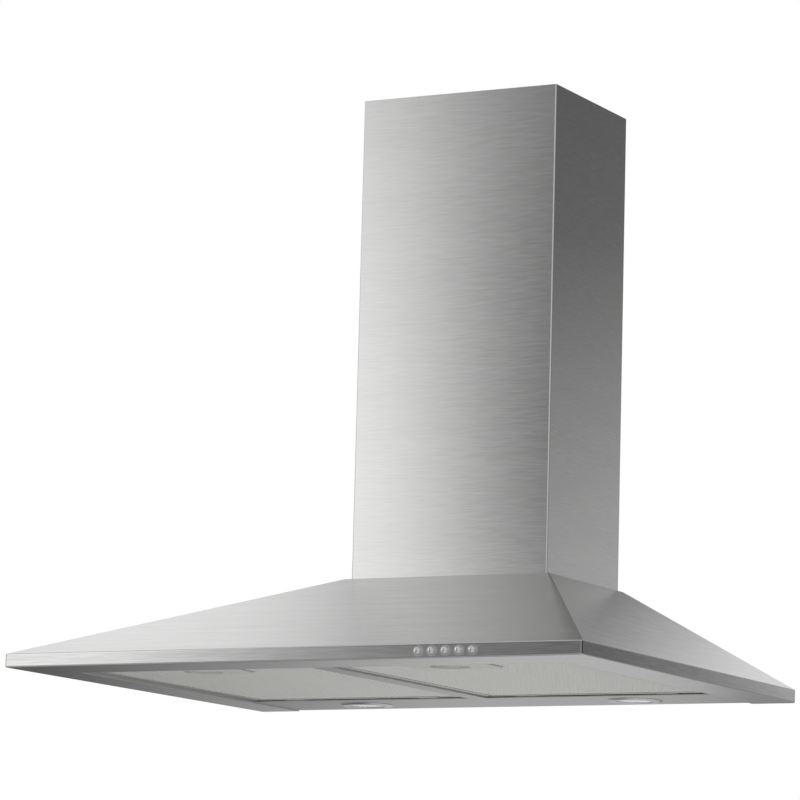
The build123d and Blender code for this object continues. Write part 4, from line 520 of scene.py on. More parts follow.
def lathe(builder, profile, place=(0, 0, 0), direction=(0, 0, 1), sides=48):
    """Turns a profile of (radius, height) points about an axis."""
    aim = aimed(place, direction)
    rings = []
    for radius, height in profile:
        turns = [2 * math.pi * k / sides for k in range(1 if radius == 0 else sides)]
        rings.append(
            [
                builder.verts.new(aim @ Vector((radius * math.cos(t), radius * math.sin(t), height)))
                for t in turns
            ]
        )
    for first, second in zip(rings, rings[1:]):
        if len(first) == len(second) == 1:
            continue
        for k in range(sides):
            corners = [first[k % len(first)], first[(k + 1) % len(first)]]
            corners += [second[(k + 1) % len(second)], second[k % len(second)]]
            builder.faces.new(list(dict.fromkeys(corners)))


def zinc_plate(name, colour):
    """Bright plating or plain metal with a fine uneven tint."""
    material, tree, shader = finish(name, colour, 1.0, 0.3)
    tint = noise(tree, 700.0, 4.0)
    varied(tree, shader, "Base Color", 0.85, 1.1, tint, colour)
    varied(tree, shader, "Roughness", 0.24, 0.42, tint)
    dented(tree, shader, tint, 0.00002)
    return material


zinc_bright = zinc_plate("zinc_screws", (0.70, 0.70, 0.68))
HEAD_RADIUS = 0.0055 / 2 / math.cos(math.radians(30))
HEAD_HEIGHT = 0.0018
SHANK_RADIUS = 0.0015
SHANK_GAP = 0.0001
POINT_SHARE = 0.6                   # of the shank's radius, at its end
THREAD_PITCH = 0.0009
THREAD_DEPTH = 0.00022
CROSS_ARM = 0.00042
CROSS_REACH = 0.0016
CROSS_DEPTH = 0.0012
FIRST_TURN, NEXT_TURN = 0.7, 1.3    # radians at which the screws stop when tight


def cut(solid, tool):
    """Takes one mesh out of another."""
    objects = [stand("work", data) for data in (solid, tool)]
    change = objects[0].modifiers.new("cut", "BOOLEAN")
    change.operation = "DIFFERENCE"
    change.solver = "EXACT"
    change.object = objects[1]
    graph = bpy.context.evaluated_depsgraph_get()
    result = bpy.data.meshes.new_from_object(objects[0].evaluated_get(graph))
    for made in objects:
        bpy.data.objects.remove(made)
    return result


head = bmesh.new()
lathe(
    head,
    [
        (0, 0),
        (HEAD_RADIUS, 0),
        (HEAD_RADIUS, HEAD_HEIGHT * 0.80),
        (HEAD_RADIUS * 0.93, HEAD_HEIGHT * 0.95),
        (HEAD_RADIUS * 0.82, HEAD_HEIGHT),
        (0, HEAD_HEIGHT),
    ],
    sides=6,
)
cross = bmesh.new()
arm = [(CROSS_REACH, -CROSS_ARM), (CROSS_REACH, CROSS_ARM), (CROSS_ARM, CROSS_ARM)]
plus = [
    (x * math.cos(t) - y * math.sin(t), x * math.sin(t) + y * math.cos(t))
    for t in (0, math.pi / 2, math.pi, 3 * math.pi / 2)
    for x, y in arm
]
skin(
    cross,
    [
        [cross.verts.new((x, y, z)) for x, y in plus]
        for z in (HEAD_HEIGHT - CROSS_DEPTH, HEAD_HEIGHT * 1.5)
    ],
)
hex_head = cut(mesh_of(head), mesh_of(cross))


def add_part(joined, part, aim):
    """Moves a part to its place and joins it to the others."""
    bmesh.ops.transform(part, matrix=aim, verts=part.verts)
    loose = bpy.data.meshes.new("part")
    part.to_mesh(loose)
    part.free()
    joined.from_mesh(loose)


def islands(node_name):
    """Lowest and highest corner of each separate solid of a node, from left to right."""
    work = bmesh.new()
    work.from_mesh(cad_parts[node_name].data)
    bmesh.ops.remove_doubles(work, verts=work.verts, dist=1e-6)
    left, found = set(work.verts), []
    while left:
        stack, group = [left.pop()], []
        while stack:
            vert = stack.pop()
            group.append(vert.co.copy())
            for edge in vert.link_edges:
                other = edge.other_vert(vert)
                if other in left:
                    left.remove(other)
                    stack.append(other)
        found.append([Vector([pick(co[k] for co in group) for k in range(3)]) for pick in (min, max)])
    work.free()
    return sorted(found, key=lambda box: (round(box[0].x, 4), round(box[0].y, 4)))


def node_screws(node_name, axis, outward, body="hood"):
    """Replaces a node of screws, heads outward along an axis, 0 for x to 2 for z.

    With outward 0 the heads face the middle. Threaded shanks run inward, all of one length.
    """
    boxes = islands(node_name)
    shank = boxes[-1][1][axis] - boxes[-1][0][axis] - HEAD_HEIGHT
    rings = 2 * max(2, int(shank / THREAD_PITCH))
    profile = [(0, -shank), (SHANK_RADIUS * POINT_SHARE, -shank)]
    for k in range(rings, -1, -1):
        dip = THREAD_DEPTH if k % 2 else 0.0
        profile.append((SHANK_RADIUS - dip, -shank * (k + 0.4) / (rings + 1)))
    profile += [(SHANK_RADIUS, -SHANK_GAP), (0, -SHANK_GAP)]
    joined = bmesh.new()
    for index, (low, high) in enumerate(boxes):
        spot = (low + high) / 2
        sign = outward or (-1 if spot[axis] > 0 else 1)
        spot[axis] = (high[axis] if sign > 0 else low[axis]) - sign * HEAD_HEIGHT
        aim = Vector((0, 0, 0))
        aim[axis] = sign
        part = bmesh.new()
        part.from_mesh(hex_head)
        lathe(part, profile, sides=20)
        turned = Matrix.Rotation(FIRST_TURN + NEXT_TURN * index, 4, "Z")
        add_part(joined, part, aimed(spot, aim) @ turned)
    name = node_name + "_cross"
    piece(name, joined, body, zinc_bright, "zinc_screws", node_name, crease=30)


node_screws("chimney_bracket_screws", 0, 0, "chimney_upper")

# Motor box: folded can of zinc-coated sheet, open below, hung in the canopy's top by its flange
# and its screws.
dress(zinc_sheet, "motor_box")
node_screws("motor_box_screws", 2, -1)


# Blower: black polypropylene scroll in two mouldings, with the wheel's blades moulded in one
# with its disc, and the motor behind it on rubber bushes.
def moulded(name, colour, roughness, grain=1400.0):
    """Moulded plastic with a fine spark-eroded grain and faint flow marks."""
    material, tree, shader = finish(name, colour, 0.0, roughness)
    fine = noise(tree, grain, 3.0)
    varied(tree, shader, "Base Color", 0.90, 1.10, noise(tree, 22.0, 3.0), colour)
    varied(tree, shader, "Roughness", roughness - 0.08, roughness + 0.08, fine)
    dented(tree, shader, fine, 0.00002)
    return material


black_moulding = moulded("blower_plastic", (0.035, 0.035, 0.038), 0.5)
wheel_moulding = moulded("wheel_plastic", (0.055, 0.055, 0.060), 0.42)
dress(black_moulding, "scroll_body", "scroll_cover")
AXIS_X, AXIS_Z = -0.012, 0.200
WHEEL_SHEET = 0.0015
WHEEL_RADIUS, RIM_INNER = 0.073, 0.067
RIM_BACK, RIM_FRONT = 0.017, 0.119
CUP_RADIUS, CUP_FLOOR_RADIUS = 0.047, 0.041
CUP_BEND, CUP_FLOOR = 0.073, 0.079
HUB_RADIUS, HUB_BORE, HUB_FRONT = 0.009, 0.00405, 0.091
WHEEL_EDGE, RIM_EDGE = 0.0015, 0.0006
BLADE_COUNT = 36
BLADE_MIDDLE = Vector((0.06723, 0.00436))
BLADE_BEND = 0.0076
BLADE_THICKNESS, BLADE_TIP_SHARE = 0.0011, 0.55
BLADE_FROM, BLADE_TO = -55, 45
BLADE_STEPS = 12
BLADE_ROOT = WHEEL_SHEET * 0.8


def rounded(points, radius, steps=4):
    """A closed profile with its corners turned to small arcs."""
    smooth = []
    for k, corner in enumerate(points):
        here = Vector(corner)
        before, after = Vector(points[k - 1]), Vector(points[(k + 1) % len(points)])
        reach = min(radius, (before - here).length * 0.45, (after - here).length * 0.45)
        start = here + (before - here).normalized() * reach
        end = here + (after - here).normalized() * reach
        for step in range(steps + 1):
            t = step / steps
            smooth.append(tuple(start * (1 - t) ** 2 + here * 2 * t * (1 - t) + end * t * t))
    return smooth


def ring(builder, profile, radius, **where):
    """A turned ring: its profile stays clear of the axis and closes on itself."""
    first = len(builder.verts)
    points = rounded(profile, radius)
    lathe(builder, points + points[:1], **where)
    builder.verts.ensure_lookup_table()
    bmesh.ops.remove_doubles(builder, verts=builder.verts[first:], dist=1e-7)


wheel = bmesh.new()
about_shaft = {"place": (AXIS_X, 0, AXIS_Z), "direction": (0, -1, 0), "sides": 120}
ring(
    wheel,
    [
        (HUB_BORE, CUP_FLOOR), (HUB_BORE, HUB_FRONT),
        (HUB_RADIUS, HUB_FRONT), (HUB_RADIUS, CUP_FLOOR + WHEEL_SHEET),
        (CUP_FLOOR_RADIUS, CUP_FLOOR + WHEEL_SHEET), (CUP_RADIUS, CUP_BEND),
        (CUP_RADIUS, RIM_BACK + WHEEL_SHEET), (WHEEL_RADIUS, RIM_BACK + WHEEL_SHEET),
        (WHEEL_RADIUS, RIM_BACK), (CUP_RADIUS - WHEEL_SHEET, RIM_BACK),
        (CUP_RADIUS - WHEEL_SHEET, CUP_BEND), (CUP_FLOOR_RADIUS - WHEEL_SHEET, CUP_FLOOR),
    ],
    WHEEL_EDGE,
    **about_shaft,
)
ring(
    wheel,
    [
        (RIM_INNER, RIM_FRONT), (WHEEL_RADIUS, RIM_FRONT),
        (WHEEL_RADIUS, RIM_FRONT - WHEEL_SHEET), (RIM_INNER, RIM_FRONT - WHEEL_SHEET),
    ],
    RIM_EDGE,
    **about_shaft,
)
BLADE_SWEEP = BLADE_TO - BLADE_FROM
for k in range(BLADE_COUNT):
    turned = Matrix.Rotation(math.radians(k * 360 / BLADE_COUNT), 2)
    outline = []
    for face in (1, -1):
        sweep = [BLADE_FROM + BLADE_SWEEP * step / BLADE_STEPS for step in range(BLADE_STEPS + 1)]
        for angle in sweep[::face]:
            t = math.radians(angle)
            swell = math.sin(math.pi * (angle - BLADE_FROM) / BLADE_SWEEP) ** 0.5
            thin = BLADE_TIP_SHARE + (1 - BLADE_TIP_SHARE) * swell
            reach = BLADE_BEND + face * BLADE_THICKNESS / 2 * thin
            outline.append(turned @ (BLADE_MIDDLE + Vector((math.sin(t), -math.cos(t))) * reach))
    skin(
        wheel,
        [
            [wheel.verts.new((AXIS_X + p.x, -depth, AXIS_Z + p.y)) for p in outline]
            for depth in (RIM_BACK + BLADE_ROOT, RIM_FRONT - BLADE_ROOT)
        ],
    )
piece("blower_wheel", wheel, "impeller", wheel_moulding, "blower_plastic", "impeller", crease=40)
node_screws("scroll_screws", 1, -1)
dress(zinc_bright, "impeller_nut")
shaft_steel = zinc_plate("shaft_steel", (0.62, 0.62, 0.63))
dress(shaft_steel, "motor_shaft")
motor_paint = galvanised("motor_steel", (0.45, 0.46, 0.48), crystal=300.0)
dress(motor_paint, "motor_can")
node_screws("motor_screws", 1, -1)
rubber = moulded("mount_rubber", (0.022, 0.022, 0.022), 0.78, grain=500.0)
dress(rubber, "motor_rubber_mounts")

# Duct collar: black moulding with a round spigot and two non-return flaps on pins, screwed to
# the motor box. The white gland for the mains lead stands beside it, with its hexagon and its
# ribbed dome.
collar_moulding = moulded("collar_plastic", (0.04, 0.04, 0.043), 0.45)
dress(collar_moulding, "outlet_collar", "damper_flap_left", "damper_flap_right")
node_screws("collar_screws", 2, 1)
white_moulding = moulded("switch_plastic", (0.78, 0.78, 0.76), 0.4)
GLAND_BORE, GLAND_NECK, GLAND_HEIGHT = 0.0040, 0.0068, 0.0160
NUT_CORNER = 0.0165 / 2 / math.cos(math.radians(30))
NUT_LOW, NUT_TOP, NUT_EDGE = 0.0040, 0.0090, 0.0006
RIB_COUNT, RIB_PITCH = 6, 0.0009
RIB_RADIUS, RIB_ROOT, RIB_EDGE = 0.0074, 0.0069, 0.0002
gland_low, gland_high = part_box("cable_gland")
gland = bmesh.new()
gland_middle = (gland_low + gland_high) / 2
gland_foot = {"place": (gland_middle.x, gland_middle.y, gland_low.z)}
ring(
    gland,
    [
        (GLAND_BORE, NUT_LOW), (GLAND_NECK, NUT_LOW), (NUT_CORNER, NUT_LOW),
        (NUT_CORNER, NUT_TOP), (GLAND_BORE, NUT_TOP),
    ],
    NUT_EDGE,
    sides=6,
    **gland_foot,
)
dome = [(GLAND_BORE, 0.0), (GLAND_NECK, 0.0), (GLAND_NECK, NUT_TOP - 0.0005)]
for k in range(RIB_COUNT):
    dome += [(RIB_RADIUS, NUT_TOP + k * RIB_PITCH), (RIB_ROOT, NUT_TOP + (k + 0.5) * RIB_PITCH)]
dome += [(0.0072, 0.0146), (0.0060, GLAND_HEIGHT), (GLAND_BORE, GLAND_HEIGHT)]
ring(gland, dome, RIB_EDGE, **gland_foot)
piece("cable_gland_nut", gland, "hood", white_moulding, "switch_plastic", "cable_gland")


# Buttons: five turned brass heads, chromed, each in a chromed guide bush with a thin collar on
# the rim. The stem runs in the white switch unit.
def chromed(name, colour, roughness):
    """Polished plating with a slight haze."""
    material, tree, shader = finish(name, colour, 1.0, roughness)
    haze = noise(tree, 1200.0, 3.0)
    varied(tree, shader, "Roughness", roughness * 0.7, roughness * 1.8, haze)
    varied(tree, shader, "Base Color", 0.96, 1.0, haze, colour)
    return material


chrome = chromed("button_chrome", (0.80, 0.80, 0.81), 0.05)
STEM_RADIUS = 0.002
DOME_DEPTH, DOME_STEP = 0.0028, 7
BUTTON_EDGE = 0.0002
HEAD_GAP = 0.0004
HEAD_CLEAR = 0.0033                 # travel and a little more, behind the head
GROOVE_BEHIND, GROOVE_HALF, GROOVE_DEPTH = 0.0007, 0.0003, 0.00022
for name in ("button_off", "button_slow", "button_medium", "button_fast", "button_lamp"):
    low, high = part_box(name)
    middle = (low + high) / 2
    radius = (high.x - low.x) / 2
    length = high.y - low.y
    head_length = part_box("button_bushes")[1].y - HEAD_CLEAR - low.y
    back = length - head_length + HEAD_GAP
    groove = length - DOME_DEPTH - GROOVE_BEHIND
    turned = bmesh.new()
    rise = [math.radians(angle) for angle in range(0, 90, DOME_STEP)]
    dome = [
        (radius * math.cos(turn), length - DOME_DEPTH * (1 - math.sin(turn))) for turn in rise
    ]
    lathe(
        turned,
        [
            (0, 0),
            (STEM_RADIUS - BUTTON_EDGE, 0),
            (STEM_RADIUS, BUTTON_EDGE),
            (STEM_RADIUS, back),
            (radius - BUTTON_EDGE, back),
            (radius, back + BUTTON_EDGE),
            (radius, groove - GROOVE_HALF),
            (radius - GROOVE_DEPTH, groove - GROOVE_HALF / 2),
            (radius - GROOVE_DEPTH, groove + GROOVE_HALF / 2),
            (radius, groove + GROOVE_HALF),
        ]
        + dome
        + [(0, length)],
        place=(middle.x, high.y, middle.z),
        direction=(0, -1, 0),
        sides=64,
    )
    piece(name + "_head", turned, name, chrome, "button_chrome", name, crease=28)
dress(chromed("bush_chrome", (0.78, 0.78, 0.79), 0.14), "button_bushes")
dress(white_moulding, "switch_unit")


# Lamps: turned steel bezels with a frosted glass that is ribbed inside, a drawn cup above with
# its spring clips, and a small quartz capsule on a ceramic foot, with a coiled filament on two
# wires.
bezel_steel = chromed("bezel_chrome", (0.70, 0.70, 0.70), 0.22)
cup_steel = galvanised("lamp_housing", (0.62, 0.62, 0.62), crystal=420.0)
frosted, tree, shader = finish(
    "lamp_glass", (0.90, 0.91, 0.90), 0.0, 0.35, Transmission_Weight=0.25, IOR=1.5
)
frost = noise(tree, 2200.0, 4.0)
varied(tree, shader, "Roughness", 0.25, 0.5, frost)
dented(tree, shader, frost, 0.00003)
quartz, tree, shader = finish(
    "capsule_glass", (0.95, 0.96, 0.96), 0.0, 0.06, Transmission_Weight=0.9, IOR=1.46
)
varied(tree, shader, "Roughness", 0.03, 0.10, node(tree, "TexNoise", {"Scale": 300.0}))
ceramic = moulded("lamp_ceramic", (0.80, 0.79, 0.75), 0.55, grain=2400.0)
tungsten = zinc_plate("lamp_filament", (0.42, 0.42, 0.42))
BEZEL_PROFILE = [
    (0.0180, 0.0004), (0.0180, -0.0003), (0.0195, -0.0008), (0.0245, -0.0008), (0.0275, 0.0006),
    (0.0275, 0.0010), (0.0248, 0.0010), (0.0248, 0.0080), (0.0221, 0.0080), (0.0221, 0.0004),
]
BEZEL_EDGE = 0.0004
LENS_RADIUS, LENS_EDGE = 0.0220, 0.0003
LENS_FLAT, LENS_TOP = 0.0004, 0.0029
LENS_RIBS, RIB_STEPS, RIB_DROP = 10, 6, 0.0002
BULB_RADIUS, PINCH_RADIUS = 0.0032, 0.0026
BULB_LOW, BULB_FOOT = 0.0090, 0.0170
BULB_PIP = [(0, BULB_LOW), (0.0008, BULB_LOW + 0.0001), (0.0012, BULB_LOW + 0.0006)]
BULB_NOSE = BULB_LOW + 0.0004
NOSE_SHARE = 0.9                    # nose's height as a share of its radius
NOSE_ANGLES = range(26, 91, 8)
PINCH_FROM, PINCH_TO = BULB_FOOT - 0.0012, BULB_FOOT - 0.0004
FOOT_HALF_X, FOOT_HALF_Y, FOOT_TOP, FOOT_EDGE = 0.0060, 0.0035, 0.0230, 0.0006
FILAMENT_Z, FILAMENT_HALF = 0.0125, 0.0018
FILAMENT_RADIUS, FILAMENT_WIRE, FILAMENT_TURNS = 0.00045, 0.00010, 9
LEAD_RADIUS, LEAD_LENGTH, LEAD_Z = 0.00022, 0.0042, 0.0124
FLAT_COIL = 0.12                    # share of a coil at each end that lies flat


def helix(builder, place, direction, radius, wire, length, turns, per_turn=20, sides=8):
    """A wire wound to a coil, with its ends closed."""
    aim = aimed(place, direction)
    count = int(turns * per_turn)
    loops = []
    for k in range(count + 1):
        turn = 2 * math.pi * k / per_turn
        out = Vector((math.cos(turn), math.sin(turn), 0))
        share = min(1, max(0, (k / count - FLAT_COIL) / (1 - 2 * FLAT_COIL)))
        rise = wire + (length - 2 * wire) * share
        round_wire = [2 * math.pi * n / sides for n in range(sides)]
        loops.append(
            [
                builder.verts.new(
                    aim
                    @ (out * (radius + wire * math.cos(t)) + Vector((0, 0, rise + wire * math.sin(t))))
                )
                for t in round_wire
            ]
        )
    skin(builder, loops)


for end in ("left", "right"):
    low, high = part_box("lamp_bezel_" + end)
    middle = Vector(((low.x + high.x) / 2, (low.y + high.y) / 2, 0))
    bezel = bmesh.new()
    ring(bezel, BEZEL_PROFILE, BEZEL_EDGE, place=middle, sides=128)
    piece("lamp_ring_" + end, bezel, "hood", bezel_steel, "bezel_chrome", "lamp_bezel_" + end)
    lens = bmesh.new()
    ribs = [
        (
            LENS_RADIUS * k / (LENS_RIBS * RIB_STEPS),
            LENS_TOP - RIB_DROP * (1 - math.cos(2 * math.pi * k / RIB_STEPS)),
        )
        for k in range(LENS_RIBS * RIB_STEPS, -1, -1)
    ]
    lens_edge = [(LENS_RADIUS - LENS_EDGE, LENS_FLAT), (LENS_RADIUS, LENS_FLAT + LENS_EDGE)]
    lathe(lens, [(0, LENS_FLAT)] + lens_edge + ribs, place=middle, sides=96)
    piece("lamp_glass_" + end, lens, "hood", frosted, "lamp_glass", "lamp_lens_" + end)
    dress(cup_steel, "lamp_holder_" + end)
    bulb = bmesh.new()
    nose = [
        (BULB_RADIUS * math.sin(a), BULB_NOSE + BULB_RADIUS * NOSE_SHARE * (1 - math.cos(a)))
        for a in map(math.radians, NOSE_ANGLES)
    ]
    pinch = [(BULB_RADIUS, PINCH_FROM), (PINCH_RADIUS, PINCH_TO), (PINCH_RADIUS, BULB_FOOT)]
    lathe(bulb, BULB_PIP + nose + pinch + [(0, BULB_FOOT)], place=middle, sides=40)
    piece("lamp_bulb_" + end, bulb, "hood", quartz, "capsule_glass", "lamp_capsule_" + end)
    foot = bmesh.new()
    block(
        foot,
        middle + Vector((-FOOT_HALF_X, -FOOT_HALF_Y, BULB_FOOT)),
        middle + Vector((FOOT_HALF_X, FOOT_HALF_Y, FOOT_TOP)),
        FOOT_EDGE,
    )
    piece("lamp_foot_" + end, foot, "hood", ceramic, "capsule_glass")
    coil = bmesh.new()
    helix(
        coil,
        middle + Vector((-FILAMENT_HALF, 0, FILAMENT_Z)),
        (1, 0, 0),
        FILAMENT_RADIUS,
        FILAMENT_WIRE,
        2 * FILAMENT_HALF,
        FILAMENT_TURNS,
        per_turn=12,
        sides=6,
    )
    lead = [(0, 0), (LEAD_RADIUS, 0), (LEAD_RADIUS, LEAD_LENGTH), (0, LEAD_LENGTH)]
    for side in (-1, 1):
        lathe(coil, lead, place=middle + Vector((side * FILAMENT_HALF, 0, LEAD_Z)), sides=10)
    piece("lamp_filament_" + end, coil, "hood", tungsten, "capsule_glass")

# Electrical housings: the lamps' transformer on the rear strip and the wiring box on the back
# plate, each a moulded body and a lid with two screws. The motor's capacitor is a rolled
# aluminium can with a pressed cap and two terminals, held by a clip.
cream_moulding = moulded("transformer_case", (0.74, 0.74, 0.70), 0.45)
HOUSING_CORNER = 0.003
CORNER_STEP = 15
LID_SHARE, LID_EDGE = 0.24, 0.0015
LID_EDGE_TURNS = (0.4, 0.8, 1.2, math.pi / 2)
SEAM_DEPTH, SEAM_WIDTH, SEAM_OVERLAP = 0.0005, 0.0006, 0.0001
WELL_RADIUS, WELL_DEPTH, WELL_INSET = 0.0030, 0.0022, 0.0065
WELL_CUT_ABOVE = 0.001
LID_SCREW_SCALE, LID_SCREW_SUNK = 0.8, 0.0001


def moulded_box(name, node_name, axis, outward, material, slot):
    """A two-part moulded housing: body and lid with a shadow gap, and two screw wells in the lid."""
    low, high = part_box(node_name)
    middle, size = (low + high) / 2, high - low
    flat = [k for k in range(3) if k != axis]
    seam_at = size[axis] * (1 - LID_SHARE)
    case = bmesh.new()

    def section(start, end, inset, edge):
        """One run of the housing's wall, with its outer edge rounded."""
        corners = []
        reach = (size[flat[0]] / 2 - inset, size[flat[1]] / 2 - inset)
        for sx, sy in ((1, 1), (-1, 1), (-1, -1), (1, -1)):
            for t in map(math.radians, range(0, 91, CORNER_STEP)):
                bend = (math.cos(t), math.sin(t)) if sx * sy > 0 else (math.sin(t), math.cos(t))
                corners.append(
                    [
                        sign * (half - HOUSING_CORNER * (1 - turn))
                        for sign, half, turn in zip((sx, sy), reach, bend)
                    ]
                )
        levels = [(start, 0), (end - edge, 0)]
        if edge:
            levels += [
                (end - edge * (1 - math.sin(t)), edge * (1 - math.cos(t))) for t in LID_EDGE_TURNS
            ]
        loops = []
        for level, pull in levels:
            loop = []
            for corner in corners:
                spot = Vector((0, 0, 0))
                for k, offset, half in zip(flat, corner, reach):
                    spot[k] = middle[k] + offset * (1 - pull / half)
                spot[axis] = low[axis] + level if outward > 0 else high[axis] - level
                loop.append(case.verts.new(spot))
            loops.append(loop)
        skin(case, loops)

    section(0, seam_at - SEAM_WIDTH, 0, 0)
    section(seam_at - SEAM_WIDTH - SEAM_OVERLAP, seam_at + SEAM_OVERLAP, SEAM_DEPTH, 0)
    section(seam_at, size[axis], 0, LID_EDGE)
    aim = Vector((0, 0, 0))
    aim[axis] = outward
    wells = bmesh.new()
    tops = bmesh.new()
    for side in (-1, 1):
        spot = middle.copy()
        spot[flat[0]] += side * (size[flat[0]] / 2 - WELL_INSET)
        spot[axis] = high[axis] if outward > 0 else low[axis]
        well = [(0, -WELL_DEPTH), (WELL_RADIUS, -WELL_DEPTH)]
        well += [(WELL_RADIUS, WELL_CUT_ABOVE), (0, WELL_CUT_ABOVE)]
        lathe(wells, well, place=spot, direction=aim, sides=32)
        top = bmesh.new()
        top.from_mesh(hex_head)
        floor_spot = spot - aim * (WELL_DEPTH - LID_SCREW_SUNK)
        add_part(tops, top, aimed(floor_spot, aim) @ Matrix.Scale(LID_SCREW_SCALE, 4))
    hollowed = cut(mesh_of(case), mesh_of(wells))
    piece(name, hollowed, "hood", material, slot, node_name, crease=32)
    piece(name + "_screws", tops, "hood", zinc_bright, "zinc_screws", crease=30)


moulded_box("transformer_housing", "lamp_transformer", 2, 1, cream_moulding, "transformer_case")
moulded_box("wiring_housing", "wiring_box", 1, -1, white_moulding, "switch_plastic")
can_aluminium = zinc_plate("capacitor_can", (0.70, 0.70, 0.71))
low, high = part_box("motor_capacitor")
middle = (low + high) / 2
CAN_RADIUS = (high.z - low.z) / 2
CAN_LENGTH = high.x - low.x
# The can's outline: how far it lies inside the radius, and how far from the cap's end
CAN_GROOVE_AND_CURL = (
    (0.0, 0.0098), (0.0006, 0.0092), (0.0008, 0.0084), (0.0006, 0.0076), (0.0, 0.0070),
    (0.0, 0.0046), (0.0003, 0.0041), (0.0009, 0.0040), (0.0012, 0.0046),
)
CAN_FOOT = [(0, 0.0006), (0.0105, 0.0006), (0.0112, 0.0), (0.0122, 0.0003), (CAN_RADIUS, 0.0014)]
CAP_OUTLINE = ((0.0013, 0.0048), (0.0013, 0.0038), (0.0018, 0.0033))
TERMINAL_LENGTH, TERMINAL_OFFSET = 0.0036, 0.0045
TERMINAL_HALF_Y, TERMINAL_HALF_Z, TERMINAL_EDGE = 0.0004, 0.0024, 0.0002
about_can = {"place": (low.x, middle.y, middle.z), "direction": (1, 0, 0), "sides": 72}
can = bmesh.new()
wall = [(CAN_RADIUS - inset, CAN_LENGTH - back) for inset, back in CAN_GROOVE_AND_CURL]
lathe(can, CAN_FOOT + wall + [(0, wall[-1][1])], **about_can)
piece(
    "capacitor_rolled_can", can, "hood", can_aluminium, "capacitor_can", "motor_capacitor", crease=30
)
cap = bmesh.new()
cap_wall = [(CAN_RADIUS - inset, CAN_LENGTH - back) for inset, back in CAP_OUTLINE]
lathe(cap, [(0, cap_wall[0][1])] + cap_wall + [(0, cap_wall[-1][1])], **about_can)
piece("capacitor_end_cap", cap, "hood", black_moulding, "capacitor_can")
terminals = bmesh.new()
for side in (-1, 1):
    across = middle.y + side * TERMINAL_OFFSET
    block(
        terminals,
        (high.x - TERMINAL_LENGTH, across - TERMINAL_HALF_Y, middle.z - TERMINAL_HALF_Z),
        (high.x, across + TERMINAL_HALF_Y, middle.z + TERMINAL_HALF_Z),
        TERMINAL_EDGE,
    )
piece("capacitor_terminals", terminals, "hood", zinc_bright, "zinc_screws")
dress(zinc_sheet, "capacitor_clip")


# Grease filters: folded aluminium channel frames with mitred corners that hang on the panel's
# rear edge, holding a pad of stretched aluminium mesh: fine layers outside and coarser, crimped
# ones between.
def rolled_aluminium(name, colour, roughness):
    """Rolled sheet with faint lines along its length."""
    material, tree, shader = finish(name, colour, 1.0, roughness, Anisotropic=0.3)
    spot = node(tree, "TexCoord", out="Object")
    drawn = node(tree, "Mapping", {"Vector": spot, "Scale": (900.0, 60.0, 900.0)})
    lines = node(tree, "TexNoise", {"Vector": drawn, "Scale": 1.0, "Detail": 3.0})
    varied(tree, shader, "Base Color", 0.90, 1.06, lines, colour)
    varied(tree, shader, "Roughness", roughness - 0.08, roughness + 0.08, lines)
    dented(tree, shader, lines, 0.00002)
    return material


frame_aluminium = rolled_aluminium("filter_aluminium", (0.80, 0.80, 0.785), 0.42)
MESH_GREY = (0.78, 0.78, 0.755)
mesh_aluminium, tree, shader = finish("filter_mesh", MESH_GREY, 0.85, 0.42)
speck = noise(tree, 260.0, 4.0)
varied(tree, shader, "Base Color", 0.92, 1.05, speck, MESH_GREY)
varied(tree, shader, "Roughness", 0.34, 0.50, speck)
FRAME_DEPTH, FRAME_LIP = 0.333, 0.007
MITRE_HALF = 0.00009
MITRE_PROUD, MITRE_SUNK = 0.00002, 0.0002
MITRE_START, MITRE_SHORT = 0.0006, 0.0002
LIP_WIDTH = 0.0064
PAD_SAG, SAG_RAMP = 0.0009, 0.0006
SKIN_LIFT, SKIN_STEP = 0.0004, 0.0006
CRIMP_DEPTH, CRIMP_PITCH = 0.0008, 0.019
LOWER_CORE, UPPER_CORE = 0.0024, 0.0044
# A mesh's openings across and front to back, and the width of its strands
FINE_MESH = (0.0042, 0.0094, 0.00125)
COARSE_MESH = (0.0090, 0.0150, 0.0020)
RIDGE_SHARE = 0.22                  # ridge's height as a share of the strand's width


def stretched_layer(builder, low, high, level, wide_way, deep_way, strand, offset, notch):
    """One layer of stretched mesh: ridged strands round diamond openings, longer front to back."""
    columns = int((high.x - low.x - wide_way) / wide_way * 2)
    rows = int((high.y - low.y - deep_way) / deep_way * 2)
    step_x = (high.x - low.x - wide_way) / columns
    step_y = (high.y - low.y - deep_way) / rows

    def knot(i, j):
        x = low.x + (i + offset * 2) * step_x
        y = low.y + (j + offset * 2) * step_y
        return Vector((x, y, level(x, y)))

    def hidden(point):
        return notch[0].x < point.x < notch[1].x and point.y < notch[1].y

    for i in range(columns):
        for j in range(rows):
            even = (i + j) % 2 == 0
            start, end = (knot(i, j), knot(i + 1, j + 1)) if even else (knot(i, j + 1), knot(i + 1, j))
            if hidden(start) or hidden(end):
                continue
            side = Vector((start.y - end.y, end.x - start.x, 0)).normalized() * strand / 2
            ridge = Vector((0, 0, -strand * RIDGE_SHARE))
            ends = [
                [builder.verts.new(p) for p in (point - side, point + ridge, point + side)]
                for point in (start, end)
            ]
            for k in (0, 1):
                builder.faces.new((ends[0][k], ends[0][k + 1], ends[1][k + 1], ends[1][k]))


def sagging(low, high, rise):
    """Heights of a lower layer, which sags through the frame's opening, down to its lip."""

    def level(x, y):
        inside = min(x - low.x, high.x - x, y - low.y, high.y - y) - LIP_WIDTH
        return low.z + SKIN_LIFT + rise - PAD_SAG * min(1, max(0, inside / SAG_RAMP))

    return level


